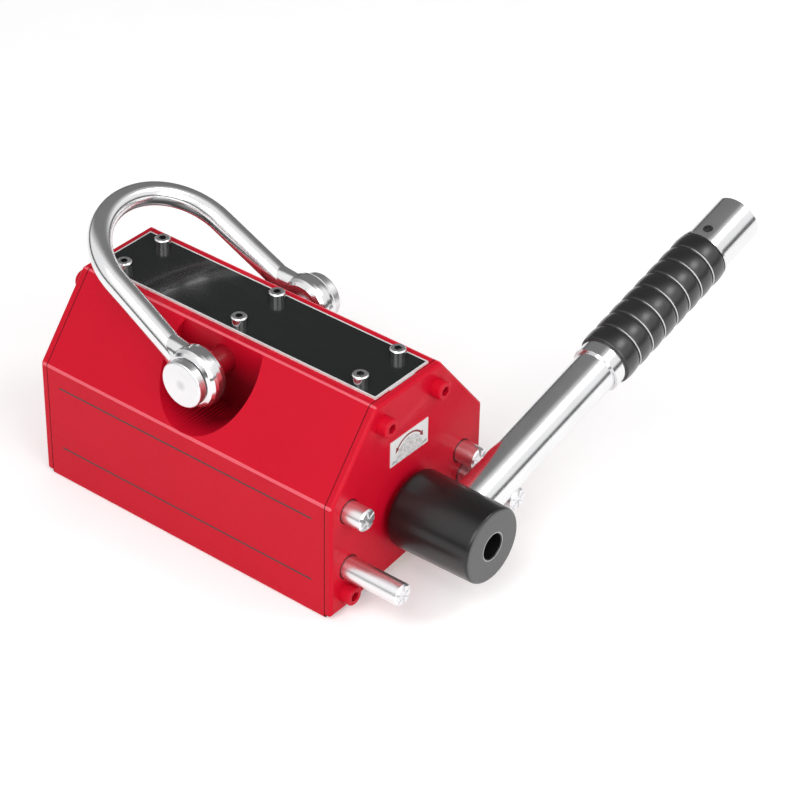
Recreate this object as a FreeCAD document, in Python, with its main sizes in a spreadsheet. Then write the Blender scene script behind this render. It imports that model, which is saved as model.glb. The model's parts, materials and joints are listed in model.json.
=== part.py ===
"""Permanent lifting magnet with a turning lever, as a parametric FreeCAD document.

Frame: +X points out of the lever end, +Y along the lever when it lies at OFF, +Z up. The origin is
on the work face, under the middle of the body, at the centre line of the shallow V between the feet.
Lengths are millimetres and angles are degrees.
"""
import FreeCAD, Part
import math
import os
import re

import Sketcher

# Every size that can be chosen by itself: alias -> (value, what it is).
SIZES = {
    # body
    "body_length": (154.8, "pole shoes, between the two end covers"),
    "body_width": (98.0, "across the vertical sides"),
    "body_height": (92.0, "from the feet to the top face"),
    "slope_height": (35.0, "slopes, from the vertical sides up to the top face"),
    "top_width": (42.0, "flat top between the slopes"),
    "edge_radius": (1.0, "rounding of the long outer edges"),
    "foot_width": (9.0, "flat foot of each pole shoe"),
    "vee_depth": (4.3, "depth of the V between the feet"),
    "pole_gap": (12.0, "gap between the shoes under the rotor"),
    "slot_width": (16.0, "gap between the shoes over the rotor"),
    "joint_gap": (0.05, "gap between pieces that are fitted into each other"),
    "seat_gap": (0.3, "gap between stacked pieces that are not fitted"),
    # rotor bore
    "rotor_height": (32.0, "rotor axis over the feet"),
    "rotor_diameter": (42.0, "rotor, over its steel segments"),
    "rotor_air_gap": (0.3, "between the rotor and its bore"),
    # stack between the shoes
    "upper_strip_height": (4.0, "non-magnetic strip over the bore"),
    "filler_height": (21.7, "steel block between the shoes, under the top face"),
    "magnet_spacing": (1.0, "gap between magnet blocks along the body"),
    # top plate
    "plate_end_margin": (0.5, "top face left bare at each end of the black plate"),
    "plate_side_margin": (4.0, "top face left bare on each side of the black plate"),
    "plate_thickness": (1.0, "black plate"),
    "plate_screw_inset": (12.4, "outer plate screws, from the ends of the shoes"),
    "plate_screw_offset": (12.0, "plate screws, from the centre line"),
    # end covers
    "cover_thickness": (3.6, "end covers"),
    "cover_lift_height": (1.9, "lower edge of a cover over the feet"),
    "cover_edge_radius": (1.4, "rounding of a cover's outer edge"),
    "boss_diameter": (24.0, "boss on the lever-end cover"),
    "boss_length": (27.0, "boss, from the cover's outer face"),
    "rear_boss_diameter": (30.0, "boss inside the far cover"),
    "rear_boss_length": (8.0, "boss inside the far cover"),
    "upper_screw_inset": (3.8, "upper cover screws, inwards from the top's edges"),
    "upper_screw_drop": (10.0, "upper cover screws, under the top face"),
    "lower_screw_inset": (9.2, "lower cover screws, inwards from the sides"),
    "lower_screw_height": (9.9, "lower cover screws, over the feet"),
    # screws
    "cover_screw_diameter": (5.0, "cover screws, M5"),
    "cover_screw_head_diameter": (8.5, "cover screw head, across"),
    "cover_screw_head_height": (5.0, "cover screw head"),
    "cover_screw_socket_width": (4.0, "cover screw socket, across flats"),
    "cover_screw_length": (16.0, "cover screw under its head"),
    "plate_screw_diameter": (4.0, "plate screws, M4"),
    "plate_screw_head_diameter": (7.0, "plate screw head, across"),
    "plate_screw_head_height": (4.0, "plate screw head"),
    "plate_screw_socket_width": (3.0, "plate screw socket, across flats"),
    "plate_screw_length": (5.6, "plate screw under its head"),
    "socket_depth": (2.6, "hexagon sockets"),
    "head_bevel_width": (0.5, "bevel of the screw heads"),
    # rotor
    "bearing_end_gap": (0.5, "end play between the rotor and the bosses"),
    "flange_thickness": (6.0, "rotor end flanges"),
    "rotor_magnet_width": (12.0, "magnets in the rotor, across the poles"),
    "rotor_magnet_height": (30.0, "magnets in the rotor, along the slot"),
    "shaft_diameter": (16.0, "lever-end shaft in its bush"),
    "rear_shaft_diameter": (14.0, "far-end shaft in its bush"),
    "bush_wall_thickness": (1.0, "wall of both bushes"),
    "running_gap": (0.05, "radial clearance of shafts in bushes"),
    "flange_screw_circle_radius": (15.0, "radius of the flange screw circle"),
    "flange_screw_diameter": (4.0, "flange screws, M4"),
    "flange_screw_head_diameter": (7.0, "flange screw head, across"),
    "flange_screw_head_height": (2.8, "flange screw head"),
    "flange_screw_socket_width": (2.5, "flange screw socket, across flats"),
    "flange_screw_length": (12.0, "flange screws under their heads"),
    # hub
    "hub_gap": (2.0, "between the cover and the hub"),
    "hub_length": (42.5, "hub"),
    "hub_inner_diameter": (35.4, "hub at the cover"),
    "hub_outer_diameter": (34.2, "hub at its free end"),
    "hub_inner_rim_radius": (3.0, "rounding of the hub's rim at the cover"),
    "hub_outer_rim_radius": (1.6, "rounding of the hub's rim at its free end"),
    "hub_web_thickness": (5.0, "wall of the hub that sits on the shaft's journal"),
    "hub_shoulder_thickness": (2.0, "wall of the hub under its screw's head"),
    "boss_gap": (0.3, "radial clearance of the hub over the boss"),
    "journal_diameter": (12.0, "shaft journal in the hub's web"),
    "hub_hole_diameter": (11.6, "hole in the hub's free end"),
    "hub_hole_bevel_width": (0.4, "bevel at the mouth of the hub's hole"),
    "key_size": (4.0, "square key between journal and hub"),
    "key_depth": (2.1, "key, inside the journal"),
    "hub_screw_diameter": (6.0, "screw that holds the hub, M6"),
    "hub_screw_head_diameter": (10.0, "hub screw head, across"),
    "hub_screw_socket_width": (5.0, "hub screw socket, across flats"),
    "hub_screw_head_height": (4.0, "low head of the screw that holds the hub"),
    "hub_screw_length": (14.0, "hub screw under its head"),
    # lever
    "lever_off_angle": (14.4, "lever over the level at OFF"),
    "lever_axis_reach": (23.0, "lever axis, from the cover's outer face"),
    "lever_tube_diameter": (20.0, "lever tube, outside"),
    "lever_tube_bore_diameter": (14.0, "lever tube, inside"),
    "lever_on_angle": (8.1, "lever over the level at ON, on the other side"),
    "lever_root_reach": (13.0, "inner end of the lever tube, from the rotor axis"),
    "lever_tube_inset": (3.0, "outer end of the lever tube, inwards from the sleeve's outer end"),
    "sleeve_inner_reach": (102.0, "inner end of the sliding sleeve, from the rotor axis"),
    "sleeve_outer_reach": (210.0, "outer end of the sliding sleeve, from the rotor axis"),
    "sleeve_diameter": (22.6, "sliding sleeve, outside"),
    "sleeve_gap": (0.08, "radial clearance of the sleeve on the tube"),
    "grip_inner_reach": (108.2, "inner end of the grip, from the rotor axis"),
    "grip_diameter": (25.4, "grip, over its swellings"),
    "grip_root_diameter": (24.0, "grip, in its grooves"),
    "grip_outer_inset": (27.2, "outer end of the grip, inwards from the sleeve's outer end"),
    "grip_groove_width": (0.7, "grooves of the grip, at their bottoms"),
    "grip_shoulder_length": (1.3, "rounded end of each swelling"),
    "grip_ring_width": (1.3, "bright ring behind the grip"),
    "grip_ring_diameter": (24.4, "bright ring behind the grip"),
    "cross_screw_inset": (21.3, "cross screw, inwards from the sleeve's outer end"),
    "cross_screw_diameter": (3.0, "cross screw, M3"),
    "cross_screw_head_diameter": (4.4, "cross screw head, across"),
    "cross_screw_head_height": (1.2, "cross screw head"),
    "cross_screw_length": (8.4, "cross screw under its head"),
    "cross_slot_length": (3.1, "slots of the cross screw"),
    "cross_slot_width": (0.8, "slots of the cross screw"),
    "tube_slot_width": (4.4, "open slot in the lever tube for the cross screw"),
    "tube_slot_margin": (2.9, "inner end of that slot, inwards from the cross screw"),
    "rod_diameter": (8.0, "lock rod"),
    "rod_gap": (0.2, "radial clearance of the lock rod's guides"),
    "rod_shoulder_reach": (92.0, "outer end of the lock rod's shoulder, from the rotor axis"),
    "rod_shoulder_width": (4.0, "lock rod shoulder"),
    "rod_head_length": (13.0, "lock rod head, centred on the cross screw"),
    "guide_inner_reach": (122.0, "rod guide, from the rotor axis"),
    "guide_length": (8.0, "rod guide"),
    "spring_wire_diameter": (1.2, "return spring wire"),
    "spring_turns": (6.0, "return spring turns"),
    "notch_depth": (2.0, "lock notches in the boss"),
    # stop pins
    "pin_diameter": (10.0, "stop pins"),
    "pin_depth": (14.0, "stop pins, inside the cover and pole"),
    "pin_bevel_width": (0.8, "bevel of a stop pin's end"),
    "pin_groove_width": (1.3, "star grooves in a stop pin's end"),
    "pin_groove_depth": (0.7, "star grooves in a stop pin's end"),
    "stop_gap": (0.1, "between the lever and the pin it rests on"),
    "long_pin_reach": (29.0, "long stop pins, from the cover"),
    "short_pin_reach": (10.0, "short stop pins, from the cover"),
    "long_pin_inset": (10.8, "long stop pins, inwards from the sides"),
    "short_on_pin_inset": (10.8, "short pin at the ON side, inwards from the side"),
    "short_on_pin_height": (50.5, "short pin at the ON side, over the feet"),
    "short_off_pin_inset": (13.2, "short pin at the OFF side, inwards from the side"),
    "short_off_pin_height": (39.4, "short pin at the OFF side, over the feet"),
    # label
    "label_width": (24.4, "position label on the cover"),
    "label_height": (12.4, "position label on the cover"),
    "label_drop": (28.4, "middle of the position label, under the top face"),
    "label_thickness": (0.3, "position label"),
    # shackle
    "shackle_pin_drop": (11.0, "shackle pin, under the top face"),
    "shackle_lean_angle": (62.3, "shackle from upright, towards the far end"),
    "shackle_bar_diameter": (10.5, "shackle bar, across"),
    "bow_radius": (32.2, "shackle bow, at the bar's centre line"),
    "bow_centre_height": (50.1, "centre of the bow, from the shackle pin"),
    "ear_offset": (35.0, "middle of each ear, from the shackle's own centre line"),
    "ear_diameter": (27.0, "shackle ears"),
    "ear_thickness": (11.0, "shackle ears"),
    "ear_rim_radius": (4.2, "rounding of the ears' rims"),
    "neck_root_reach": (8.0, "wide end of the neck between bar and ear, from the pin"),
    "neck_reach": (19.5, "narrow end of the neck, from the pin"),
    "neck_width": (19.0, "neck at its wide end"),
    "neck_thickness": (10.2, "neck at its wide end, along the pin"),
    "neck_blend_gap": (0.35, "narrow end of the neck, under the bar's surface"),
    "shackle_play": (3.5, "shackle and pin, slid along the pin's bore to the -Y side"),
    "pocket_radius": (23.6, "round pocket around each ear"),
    "pocket_floor_offset": (21.4, "floor of each pocket, from the centre line"),
    "shackle_pin_diameter": (12.0, "shackle pin"),
    "pin_head_diameter": (21.0, "shackle pin's head and cap"),
    "pin_head_thickness": (4.0, "shackle pin's head and cap"),
    "cap_wall_thickness": (1.3, "end wall of the pin's cap"),
    "pin_head_rim_radius": (1.0, "rounding of the head and cap"),
    "ear_gap": (0.3, "side play of the ears under the head and cap"),
    "ear_clearance": (0.08, "radial clearance of the ears on their pin"),
}

doc = FreeCAD.newDocument("LiftingMagnet")
sheet = doc.addObject("Spreadsheet::Sheet", "Sizes")
for row, (alias, (value, note)) in enumerate(SIZES.items(), start=1):
    sheet.set(f"A{row}", note)
    sheet.set(f"B{row}", str(value))
    sheet.setAlias(f"B{row}", alias)
doc.recompute()

ALIAS = re.compile(r"\b(" + "|".join(sorted(SIZES, key=len, reverse=True)) + r")\b")
GRIP_SWELLINGS = 8
CORNER_STEPS = 4
BOTH_SIDES = ("-", "")


def tied(text):
    """The expression with each size's name turned into a reference to its cell."""
    return ALIAS.sub(r"Sizes.\1", text)


def number(text):
    """The expression's value now, as a plain number."""
    found = sheet.evalExpression(tied(text))
    return float(getattr(found, "Value", found))


def bind(thing, **texts):
    """Tie properties to expressions; a double underscore stands for a dot in a property's path."""
    for path, text in texts.items():
        thing.setExpression(path.replace("__", "."), tied(text))


def place(thing, at=("0", "0", "0"), axis=(1, 0, 0), turn="0"):
    """Tie a placement to three position expressions and one turn about an axis."""
    rotation = FreeCAD.Rotation(FreeCAD.Vector(*axis), number(turn))
    thing.Placement = FreeCAD.Placement(FreeCAD.Vector(), rotation)
    bind(thing, Placement__Base__x=at[0], Placement__Base__y=at[1], Placement__Base__z=at[2])
    if turn != "0":
        bind(thing, Placement__Rotation__Angle=turn)
    return thing


def new_body(label):
    body = doc.addObject("PartDesign::Body", label)
    body.Label = label
    return body


def origin_plane(body, role):
    return [item for item in body.Origin.OriginFeatures if item.Role == role][0]


def new_sketch(body, role, lift="0"):
    """A sketch on one of the body's own origin planes, lifted along the plane's normal."""
    sketch = body.newObject("Sketcher::SketchObject", "Sketch")
    sketch.AttachmentSupport = [(origin_plane(body, role), "")]
    sketch.MapMode = "FlatFace"
    bind(sketch, AttachmentOffset__Base__z=lift)
    return sketch


def radial_sketch(body, angle, reach, axis_height="0"):
    """A sketch that faces away from an axis along X, at a distance from it and turned from upright."""
    sketch = new_sketch(body, "XY_Plane")
    rotation = FreeCAD.Rotation(FreeCAD.Vector(1, 0, 0), number(angle))
    sketch.AttachmentOffset = FreeCAD.Placement(FreeCAD.Vector(), rotation)
    bind(sketch, AttachmentOffset__Rotation__Angle=angle,
         AttachmentOffset__Base__y=f"-({reach}) * sin(({angle}) * 1deg)",
         AttachmentOffset__Base__z=f"{axis_height} + ({reach}) * cos(({angle}) * 1deg)")
    return sketch


def fix_point(sketch, edge, end, across, up):
    """Tie a sketch point to its two coordinates."""
    for kind, text, axis in (("DistanceX", across, -2), ("DistanceY", up, -1)):
        if text == "0":
            sketch.addConstraint(Sketcher.Constraint("PointOnObject", edge, end, axis))
            continue
        datum = Sketcher.Constraint(kind, -1, 1, edge, end, number(text))
        sketch.setExpression(f"Constraints[{sketch.addConstraint(datum)}]", tied(text))


def outline(sketch, points):
    """A closed outline of straight lines through points given as pairs of expressions."""
    spots = [FreeCAD.Vector(number(across), number(up), 0) for across, up in points]
    count = len(points)
    first = sketch.GeometryCount
    for index in range(count):
        sketch.addGeometry(Part.LineSegment(spots[index], spots[(index + 1) % count]), False)
    for index in range(count):
        following = first + (index + 1) % count
        sketch.addConstraint(Sketcher.Constraint("Coincident", first + index, 2, following, 1))
    for index, (across, up) in enumerate(points):
        fix_point(sketch, first + index, 1, across, up)
    return sketch


def mirrored_outline(sketch, half):
    """An outline given by its half on the +Y side, from the lowest point to the highest."""
    other = [("-(" + across + ")", up) for across, up in reversed(half) if across != "0"]
    return outline(sketch, half + other)


def rectangle(sketch, half_width, low, high):
    """A rectangle centred across the sketch's upright axis."""
    return mirrored_outline(sketch, [(half_width, low), (half_width, high)])


def ring(sketch, across, up, radius):
    """A full circle in a sketch."""
    centre = FreeCAD.Vector(number(across), number(up), 0)
    circle = Part.Circle(centre, FreeCAD.Vector(0, 0, 1), number(radius))
    edge = sketch.addGeometry(circle, False)
    fix_point(sketch, edge, 3, across, up)
    datum = sketch.addConstraint(Sketcher.Constraint("Radius", edge, number(radius)))
    sketch.setExpression(f"Constraints[{datum}]", tied(radius))
    return sketch


def oval(sketch, across, up, width, height):
    """A full ellipse in a sketch, wider across than it is high."""
    centre = FreeCAD.Vector(number(across), number(up), 0)
    right = centre + FreeCAD.Vector(number(width) / 2, 0, 0)
    top = centre + FreeCAD.Vector(0, number(height) / 2, 0)
    edge = sketch.addGeometry(Part.Ellipse(right, top, centre), False)
    sketch.exposeInternalGeometry(edge)
    sketch.addConstraint(Sketcher.Constraint("Horizontal", edge + 1))
    fix_point(sketch, edge, 3, across, up)
    for line, text in ((edge + 1, width), (edge + 2, height)):
        datum = sketch.addConstraint(Sketcher.Constraint("Distance", line, number(text)))
        sketch.setExpression(f"Constraints[{datum}]", tied(text))
    return sketch


def pad(body, sketch, length, side="One side", backwards=False):
    feature = body.newObject("PartDesign::Pad", "Pad")
    feature.Profile = sketch
    feature.SideType = side
    feature.Reversed = backwards
    bind(feature, Length=length)
    doc.recompute()
    return feature


def cut(body, sketch, depth=None, side="One side", backwards=False):
    """A pocket, right through unless a depth is given; it must take material away."""
    before = body.Shape.Volume
    feature = body.newObject("PartDesign::Pocket", "Pocket")
    feature.Profile = sketch
    feature.SideType = side
    feature.Reversed = backwards
    if depth is None:
        feature.Type = "ThroughAll"
    else:
        bind(feature, Length=depth)
    doc.recompute()
    if not body.Shape.Volume < before:
        raise ValueError(f"{body.Label}: a pocket cuts nothing")
    return feature


def revolve(body, sketch, axis):
    feature = body.newObject("PartDesign::Revolution", "Revolution")
    feature.Profile = sketch
    feature.ReferenceAxis = (sketch, [axis])
    feature.Angle = 360
    doc.recompute()
    return feature


def turned(label, points, along="X"):
    """A turned piece from its half section, given as (distance along the axis, radius) pairs."""
    body = new_body(label)
    sketch = new_sketch(body, "XZ_Plane")
    if along == "X":
        outline(sketch, points)
        revolve(body, sketch, "H_Axis")
    else:
        outline(sketch, [(radius, distance) for distance, radius in points])
        revolve(body, sketch, "V_Axis")
    return body


def tube(label, start, end, outer, inner="0", along="X", bevel=None):
    """A turned ring or rod between two stations, with an optional bevel on its outer rims."""
    if bevel is None:
        rims = [(end, outer), (start, outer)]
    else:
        low = f"{outer} - {bevel}"
        rims = [(end, low), (f"{end} - {bevel}", outer), (f"{start} + {bevel}", outer), (start, low)]
    return turned(label, [(start, inner), (end, inner)] + rims, along)


def round_edges(body, radius, wanted):
    """Round the edges of the body's last shape that pass the test."""
    names = [f"Edge{index}" for index, edge in enumerate(body.Shape.Edges, start=1) if wanted(edge)]
    if not names:
        raise ValueError(f"{body.Label}: no edge to round")
    base = body.Tip
    feature = body.newObject("PartDesign::Fillet", "Fillet")
    feature.Base = (base, names)
    bind(feature, Radius=radius)
    doc.recompute()
    return feature


def near(found, wanted):
    return abs(found - wanted) < 0.01


def rim_at(radius, station):
    """A test for the full circle of that radius at that station along X."""
    def wanted(edge):
        curve = edge.Curve
        is_circle = isinstance(curve, Part.Circle)
        return is_circle and near(curve.Radius, number(radius)) and near(curve.Center.x, number(station))
    return wanted


def block(label, size, at, axis=(1, 0, 0), turn="0"):
    """A box with its low corner at the given place."""
    box = doc.addObject("Part::Box", label)
    box.Label = label
    bind(box, Length=size[0], Width=size[1], Height=size[2])
    return place(box, at, axis, turn)


def bar(label, radius, height, lift="0"):
    cylinder = doc.addObject("Part::Cylinder", label)
    bind(cylinder, Radius=radius, Height=height)
    return place(cylinder, ("0", "0", lift))


def minus(label, base, tool):
    """One solid cut from another."""
    result = doc.addObject("Part::Cut", label)
    result.Base = base
    result.Tool = tool
    result.Label = label
    return result


def joined(label, members):
    result = doc.addObject("Part::MultiFuse", label)
    result.Shapes = members
    return result


def group(label, members):
    """One node that holds several separate solids."""
    compound = doc.addObject("Part::Compound", label)
    compound.Links = members
    compound.Label = label
    return compound


def socket_screw(label, kind, at, axis=(1, 0, 0), turn="0"):
    """A socket head screw; its under-head face is at its place and its head points along +Z."""
    rim_height = f"{kind}_head_height - head_bevel_width"
    head = bar(label + "_head", f"{kind}_head_diameter / 2", rim_height)
    crown = doc.addObject("Part::Cone", label + "_crown")
    bind(crown, Radius1=f"{kind}_head_diameter / 2", Height="head_bevel_width",
         Radius2=f"{kind}_head_diameter / 2 - head_bevel_width")
    place(crown, ("0", "0", rim_height))
    shank = bar(label + "_shank", f"{kind}_diameter / 2 - joint_gap", f"{kind}_length + head_bevel_width",
                f"-{kind}_length")
    socket = doc.addObject("Part::Prism", label + "_socket")
    socket.Polygon = 6
    bind(socket, Circumradius=f"{kind}_socket_width / sqrt(3)", Height=f"{kind}_head_height")
    place(socket, ("0", "0", f"{kind}_head_height - socket_depth"))
    screw = minus(label, joined(label + "_blank", [head, crown, shank]), socket)
    return place(screw, at, axis, turn)


# --- Stations and measures that several pieces share -----------------------------------------------
POLE_END = "(body_length / 2)"
COVER_FACE = f"({POLE_END} + cover_thickness)"
BOSS_END = f"({COVER_FACE} + boss_length)"
BORE_RADIUS = "(rotor_diameter / 2 + rotor_air_gap)"
LOWER_STRIP_TOP = f"(rotor_height - {BORE_RADIUS} - seat_gap)"
UPPER_STRIP_BASE = f"(rotor_height + {BORE_RADIUS} + seat_gap)"
FIXED_MAGNET_BASE = f"({UPPER_STRIP_BASE} + upper_strip_height + seat_gap)"
FILLER_BASE = "(body_height - filler_height)"
FIXED_MAGNET_HEIGHT = f"({FILLER_BASE} - seat_gap - {FIXED_MAGNET_BASE})"
FITTED_SLOT = "(slot_width / 2 - joint_gap)"
FRONT_BUSH_RADIUS = "(shaft_diameter / 2 + running_gap + bush_wall_thickness)"
REAR_BUSH_RADIUS = "(rear_shaft_diameter / 2 + running_gap + bush_wall_thickness)"
ROTOR_FRONT = f"({POLE_END} - bearing_end_gap)"
ROTOR_REAR = f"(rear_boss_length + bearing_end_gap - {POLE_END})"
CORE_FRONT = f"({ROTOR_FRONT} - flange_thickness)"
CORE_REAR = f"({ROTOR_REAR} + flange_thickness)"
ROTOR_TILT = "((lever_off_angle + lever_on_angle) / 2)"
LEVER_X = f"({COVER_FACE} + lever_axis_reach)"
HUB_START = f"({COVER_FACE} + hub_gap)"
HUB_END = f"({HUB_START} + hub_length)"
HUB_BORE = "(boss_diameter / 2 + boss_gap)"
WEB_START = f"({BOSS_END} + seat_gap)"
WEB_END = f"({WEB_START} + hub_web_thickness)"
SHOULDER_END = f"({WEB_END} + hub_shoulder_thickness)"
JOURNAL_BORE = "(journal_diameter / 2 + joint_gap)"
JOURNAL_END = f"({WEB_END} - joint_gap)"
KEY_BASE = "(journal_diameter / 2 - key_depth)"
ROTOR_AXIS = ("0", "0", "rotor_height")
TO_OFF = "(lever_off_angle - 90)"
TO_ON = "(90 - lever_on_angle)"
LONG_PIN_OFFSET = "(body_width / 2 - long_pin_inset)"
TUBE_RADIUS = "(lever_tube_diameter / 2)"
TUBE_END = "(sleeve_outer_reach - lever_tube_inset)"
CROSS_SCREW = "(sleeve_outer_reach - cross_screw_inset)"
ROD_HEAD_START = f"({CROSS_SCREW} - rod_head_length / 2)"
ROD_HEAD_END = f"({CROSS_SCREW} + rod_head_length / 2)"
SLEEVE_BORE = f"({TUBE_RADIUS} + sleeve_gap)"
ROD_TIP = f"({HUB_BORE})"
ROD_LAND = "(lever_tube_bore_diameter / 2 - rod_gap)"
SIDE_TOP = "(body_height - slope_height)"
PLATE_HALF = "(top_width / 2 - plate_side_margin)"
SHACKLE_AXIS = "(body_height - shackle_pin_drop)"
SHACKLE_PIVOT = ("0", "-shackle_play", SHACKLE_AXIS)
EAR_OUTER = "(ear_offset + ear_thickness / 2)"
HEAD_INNER = f"({EAR_OUTER} + ear_gap)"
HEAD_OUTER = f"({HEAD_INNER} + pin_head_thickness)"
CAP_FLOOR = f"({HEAD_OUTER} - cap_wall_thickness)"
BOW_DISTANCE = "sqrt(ear_offset ^ 2 + bow_centre_height ^ 2)"
TAPER = f"((atan(ear_offset / bow_centre_height) - asin(bow_radius / {BOW_DISTANCE})) / 1deg)"


def stop_height(rise):
    """Height of a long stop pin on which the lever rests at a given angle over the level."""
    spacing = f"({TUBE_RADIUS} + pin_diameter / 2 + stop_gap)"
    return f"(rotor_height + {LONG_PIN_OFFSET} * tan({rise} * 1deg) - {spacing} / cos({rise} * 1deg))"


# Stop pins: side of the body, offset, height and reach over the cover.
STOP_PINS = {
    "long_stop_pin_on": ("-", LONG_PIN_OFFSET, stop_height("lever_on_angle"), "long_pin_reach"),
    "long_stop_pin_off": ("", LONG_PIN_OFFSET, stop_height("lever_off_angle"), "long_pin_reach"),
    "short_stop_pin_on": ("-", "(body_width / 2 - short_on_pin_inset)", "short_on_pin_height",
                          "short_pin_reach"),
    "short_stop_pin_off": ("", "(body_width / 2 - short_off_pin_inset)", "short_off_pin_height",
                           "short_pin_reach"),
}
COVER_SCREWS = [("(top_width / 2 - upper_screw_inset)", "body_height - upper_screw_drop"),
                ("(body_width / 2 - lower_screw_inset)", "lower_screw_height")]
PLATE_SCREW_STATIONS = (f"plate_screw_inset - {POLE_END}", "0", f"{POLE_END} - plate_screw_inset")


def pole_shoe(label, side):
    """One painted steel pole shoe; side is the sign of Y."""
    body = new_body(label)
    inner = "pole_gap / 2"
    foot = "body_width / 2 - foot_width"
    corners = [(inner, f"vee_depth * (1 - {inner} / ({foot}))"), (foot, "0"), ("body_width / 2", "0"),
               ("body_width / 2", SIDE_TOP), ("top_width / 2", "body_height"),
               ("slot_width / 2", "body_height"), ("slot_width / 2", "rotor_height"),
               (inner, "rotor_height")]
    profile = outline(new_sketch(body, "YZ_Plane"), [(f"{side}({y})", z) for y, z in corners])
    pad(body, profile, "body_length", "Symmetric")

    def outer_edge(edge):
        middle = edge.CenterOfMass
        over_slope = near(abs(middle.y), number("top_width / 2")) and near(middle.z, number("body_height"))
        on_side = near(abs(middle.y), number("body_width / 2"))
        return near(edge.Length, number("body_length")) and (over_slope or on_side)

    round_edges(body, "edge_radius", outer_edge)
    cut(body, ring(new_sketch(body, "YZ_Plane"), "0", "rotor_height", BORE_RADIUS), None, "Symmetric")
    # The normal of the XZ plane points to -Y.
    left = side == "-"
    floor = new_sketch(body, "XZ_Plane", "pocket_floor_offset" if left else "-pocket_floor_offset")
    cut(body, ring(floor, "0", SHACKLE_AXIS, "pocket_radius"), "body_width", backwards=left)
    pin_hole = new_sketch(body, "XZ_Plane")
    ring(pin_hole, "0", SHACKLE_AXIS, "shackle_pin_diameter / 2 + joint_gap")
    cut(body, pin_hole, None, "Symmetric")
    taps = new_sketch(body, "XY_Plane", "body_height")
    for station in PLATE_SCREW_STATIONS:
        ring(taps, station, f"{side}plate_screw_offset", "plate_screw_diameter / 2")
    cut(body, taps, "plate_screw_length - plate_thickness + seat_gap")
    for end in BOTH_SIDES:
        threads = new_sketch(body, "YZ_Plane", f"{end}{POLE_END}")
        for offset, height in COVER_SCREWS:
            ring(threads, side + offset, height, "cover_screw_diameter / 2")
        cut(body, threads, "cover_screw_length", backwards=end == "-")
    seats = new_sketch(body, "YZ_Plane", POLE_END)
    for pin_side, offset, height, _ in STOP_PINS.values():
        if pin_side == side:
            ring(seats, side + offset, height, "pin_diameter / 2 + joint_gap")
    cut(body, seats, "pin_depth - cover_thickness + joint_gap")
    return body


def end_cover(label, front):
    """A painted end cover; only the one at the lever end has the boss that carries the hub."""
    body = new_body(label)
    half = [("0", "cover_lift_height + vee_depth"), ("body_width / 2 - foot_width", "cover_lift_height"),
            ("body_width / 2", "cover_lift_height"), ("body_width / 2", SIDE_TOP),
            ("top_width / 2", "body_height")]
    profile = mirrored_outline(new_sketch(body, "YZ_Plane"), half)
    pad(body, profile, "cover_thickness", backwards=not front)
    face = number("cover_thickness") * (1 if front else -1)

    def outer_rim(edge):
        box = edge.BoundBox
        return near(box.XMin, face) and near(box.XMax, face)

    round_edges(body, "cover_edge_radius", outer_rim)
    boss = new_sketch(body, "YZ_Plane")
    if front:
        pad(body, ring(boss, "0", "rotor_height", "boss_diameter / 2"), "cover_thickness + boss_length")
        bore = ring(new_sketch(body, "YZ_Plane"), "0", "rotor_height", f"{FRONT_BUSH_RADIUS} + joint_gap")
        cut(body, bore, None, "Symmetric")
    else:
        pad(body, ring(boss, "0", "rotor_height", "rear_boss_diameter / 2"), "rear_boss_length")
        bore = new_sketch(body, "YZ_Plane", "rear_boss_length")
        cut(body, ring(bore, "0", "rotor_height", f"{REAR_BUSH_RADIUS} + joint_gap"), "rear_boss_length")
    holes = new_sketch(body, "YZ_Plane")
    for offset, height in COVER_SCREWS:
        for side in BOTH_SIDES:
            ring(holes, side + offset, height, "cover_screw_diameter / 2 + seat_gap")
    if front:
        for side, offset, height, _ in STOP_PINS.values():
            ring(holes, side + offset, height, "pin_diameter / 2 + joint_gap")
    cut(body, holes, None, "Symmetric")
    if front:
        # Lock notches: where the lock rod points at OFF and at ON.
        for angle in (TO_OFF, TO_ON):
            notch = radial_sketch(body, angle, "boss_diameter / 2 - notch_depth", "rotor_height")
            ring(notch, f"{LEVER_X} - {POLE_END}", "0", "rod_diameter / 2 + seat_gap")
            cut(body, notch, "notch_depth * 2", backwards=True)
    return place(body, (POLE_END if front else f"-{POLE_END}", "0", "0"))


def magnet_row(label, width, height, start, end, at_height, axis_place=None, turn="0"):
    """Three magnet blocks in a row along X, at each end and in the middle."""
    length = f"(({end} - {start} - 2 * magnet_spacing) / 3)"
    for index, name in enumerate(("rear", "middle", "front")):
        station = f"{start} + {index} * ({length} + magnet_spacing)"
        base = doc.addObject("Part::Box", f"{label}_{name}_block")
        bind(base, Length=length, Width=width, Height=height)
        place(base, (station, f"-({width}) / 2", at_height))
        node = doc.addObject("Part::Compound", f"{label}_{name}")
        node.Links = [base]
        node.Label = f"{label}_{name}"
        place(node, axis_place or ("0", "0", "0"), (1, 0, 0), turn)


# --- Body -------------------------------------------------------------------------------------------
pole_shoe("pole_shoe_left", "-")
pole_shoe("pole_shoe_right", "")
block("lower_strip", ("body_length", "pole_gap - 2 * joint_gap", f"{LOWER_STRIP_TOP} - vee_depth"),
      (f"-{POLE_END}", "joint_gap - pole_gap / 2", "vee_depth"))
block("upper_strip", ("body_length", f"2 * {FITTED_SLOT}", "upper_strip_height"),
      (f"-{POLE_END}", f"-{FITTED_SLOT}", UPPER_STRIP_BASE))
magnet_row("fixed_magnet", f"2 * {FITTED_SLOT}", FIXED_MAGNET_HEIGHT, f"(-{POLE_END})", POLE_END,
           FIXED_MAGNET_BASE)

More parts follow.
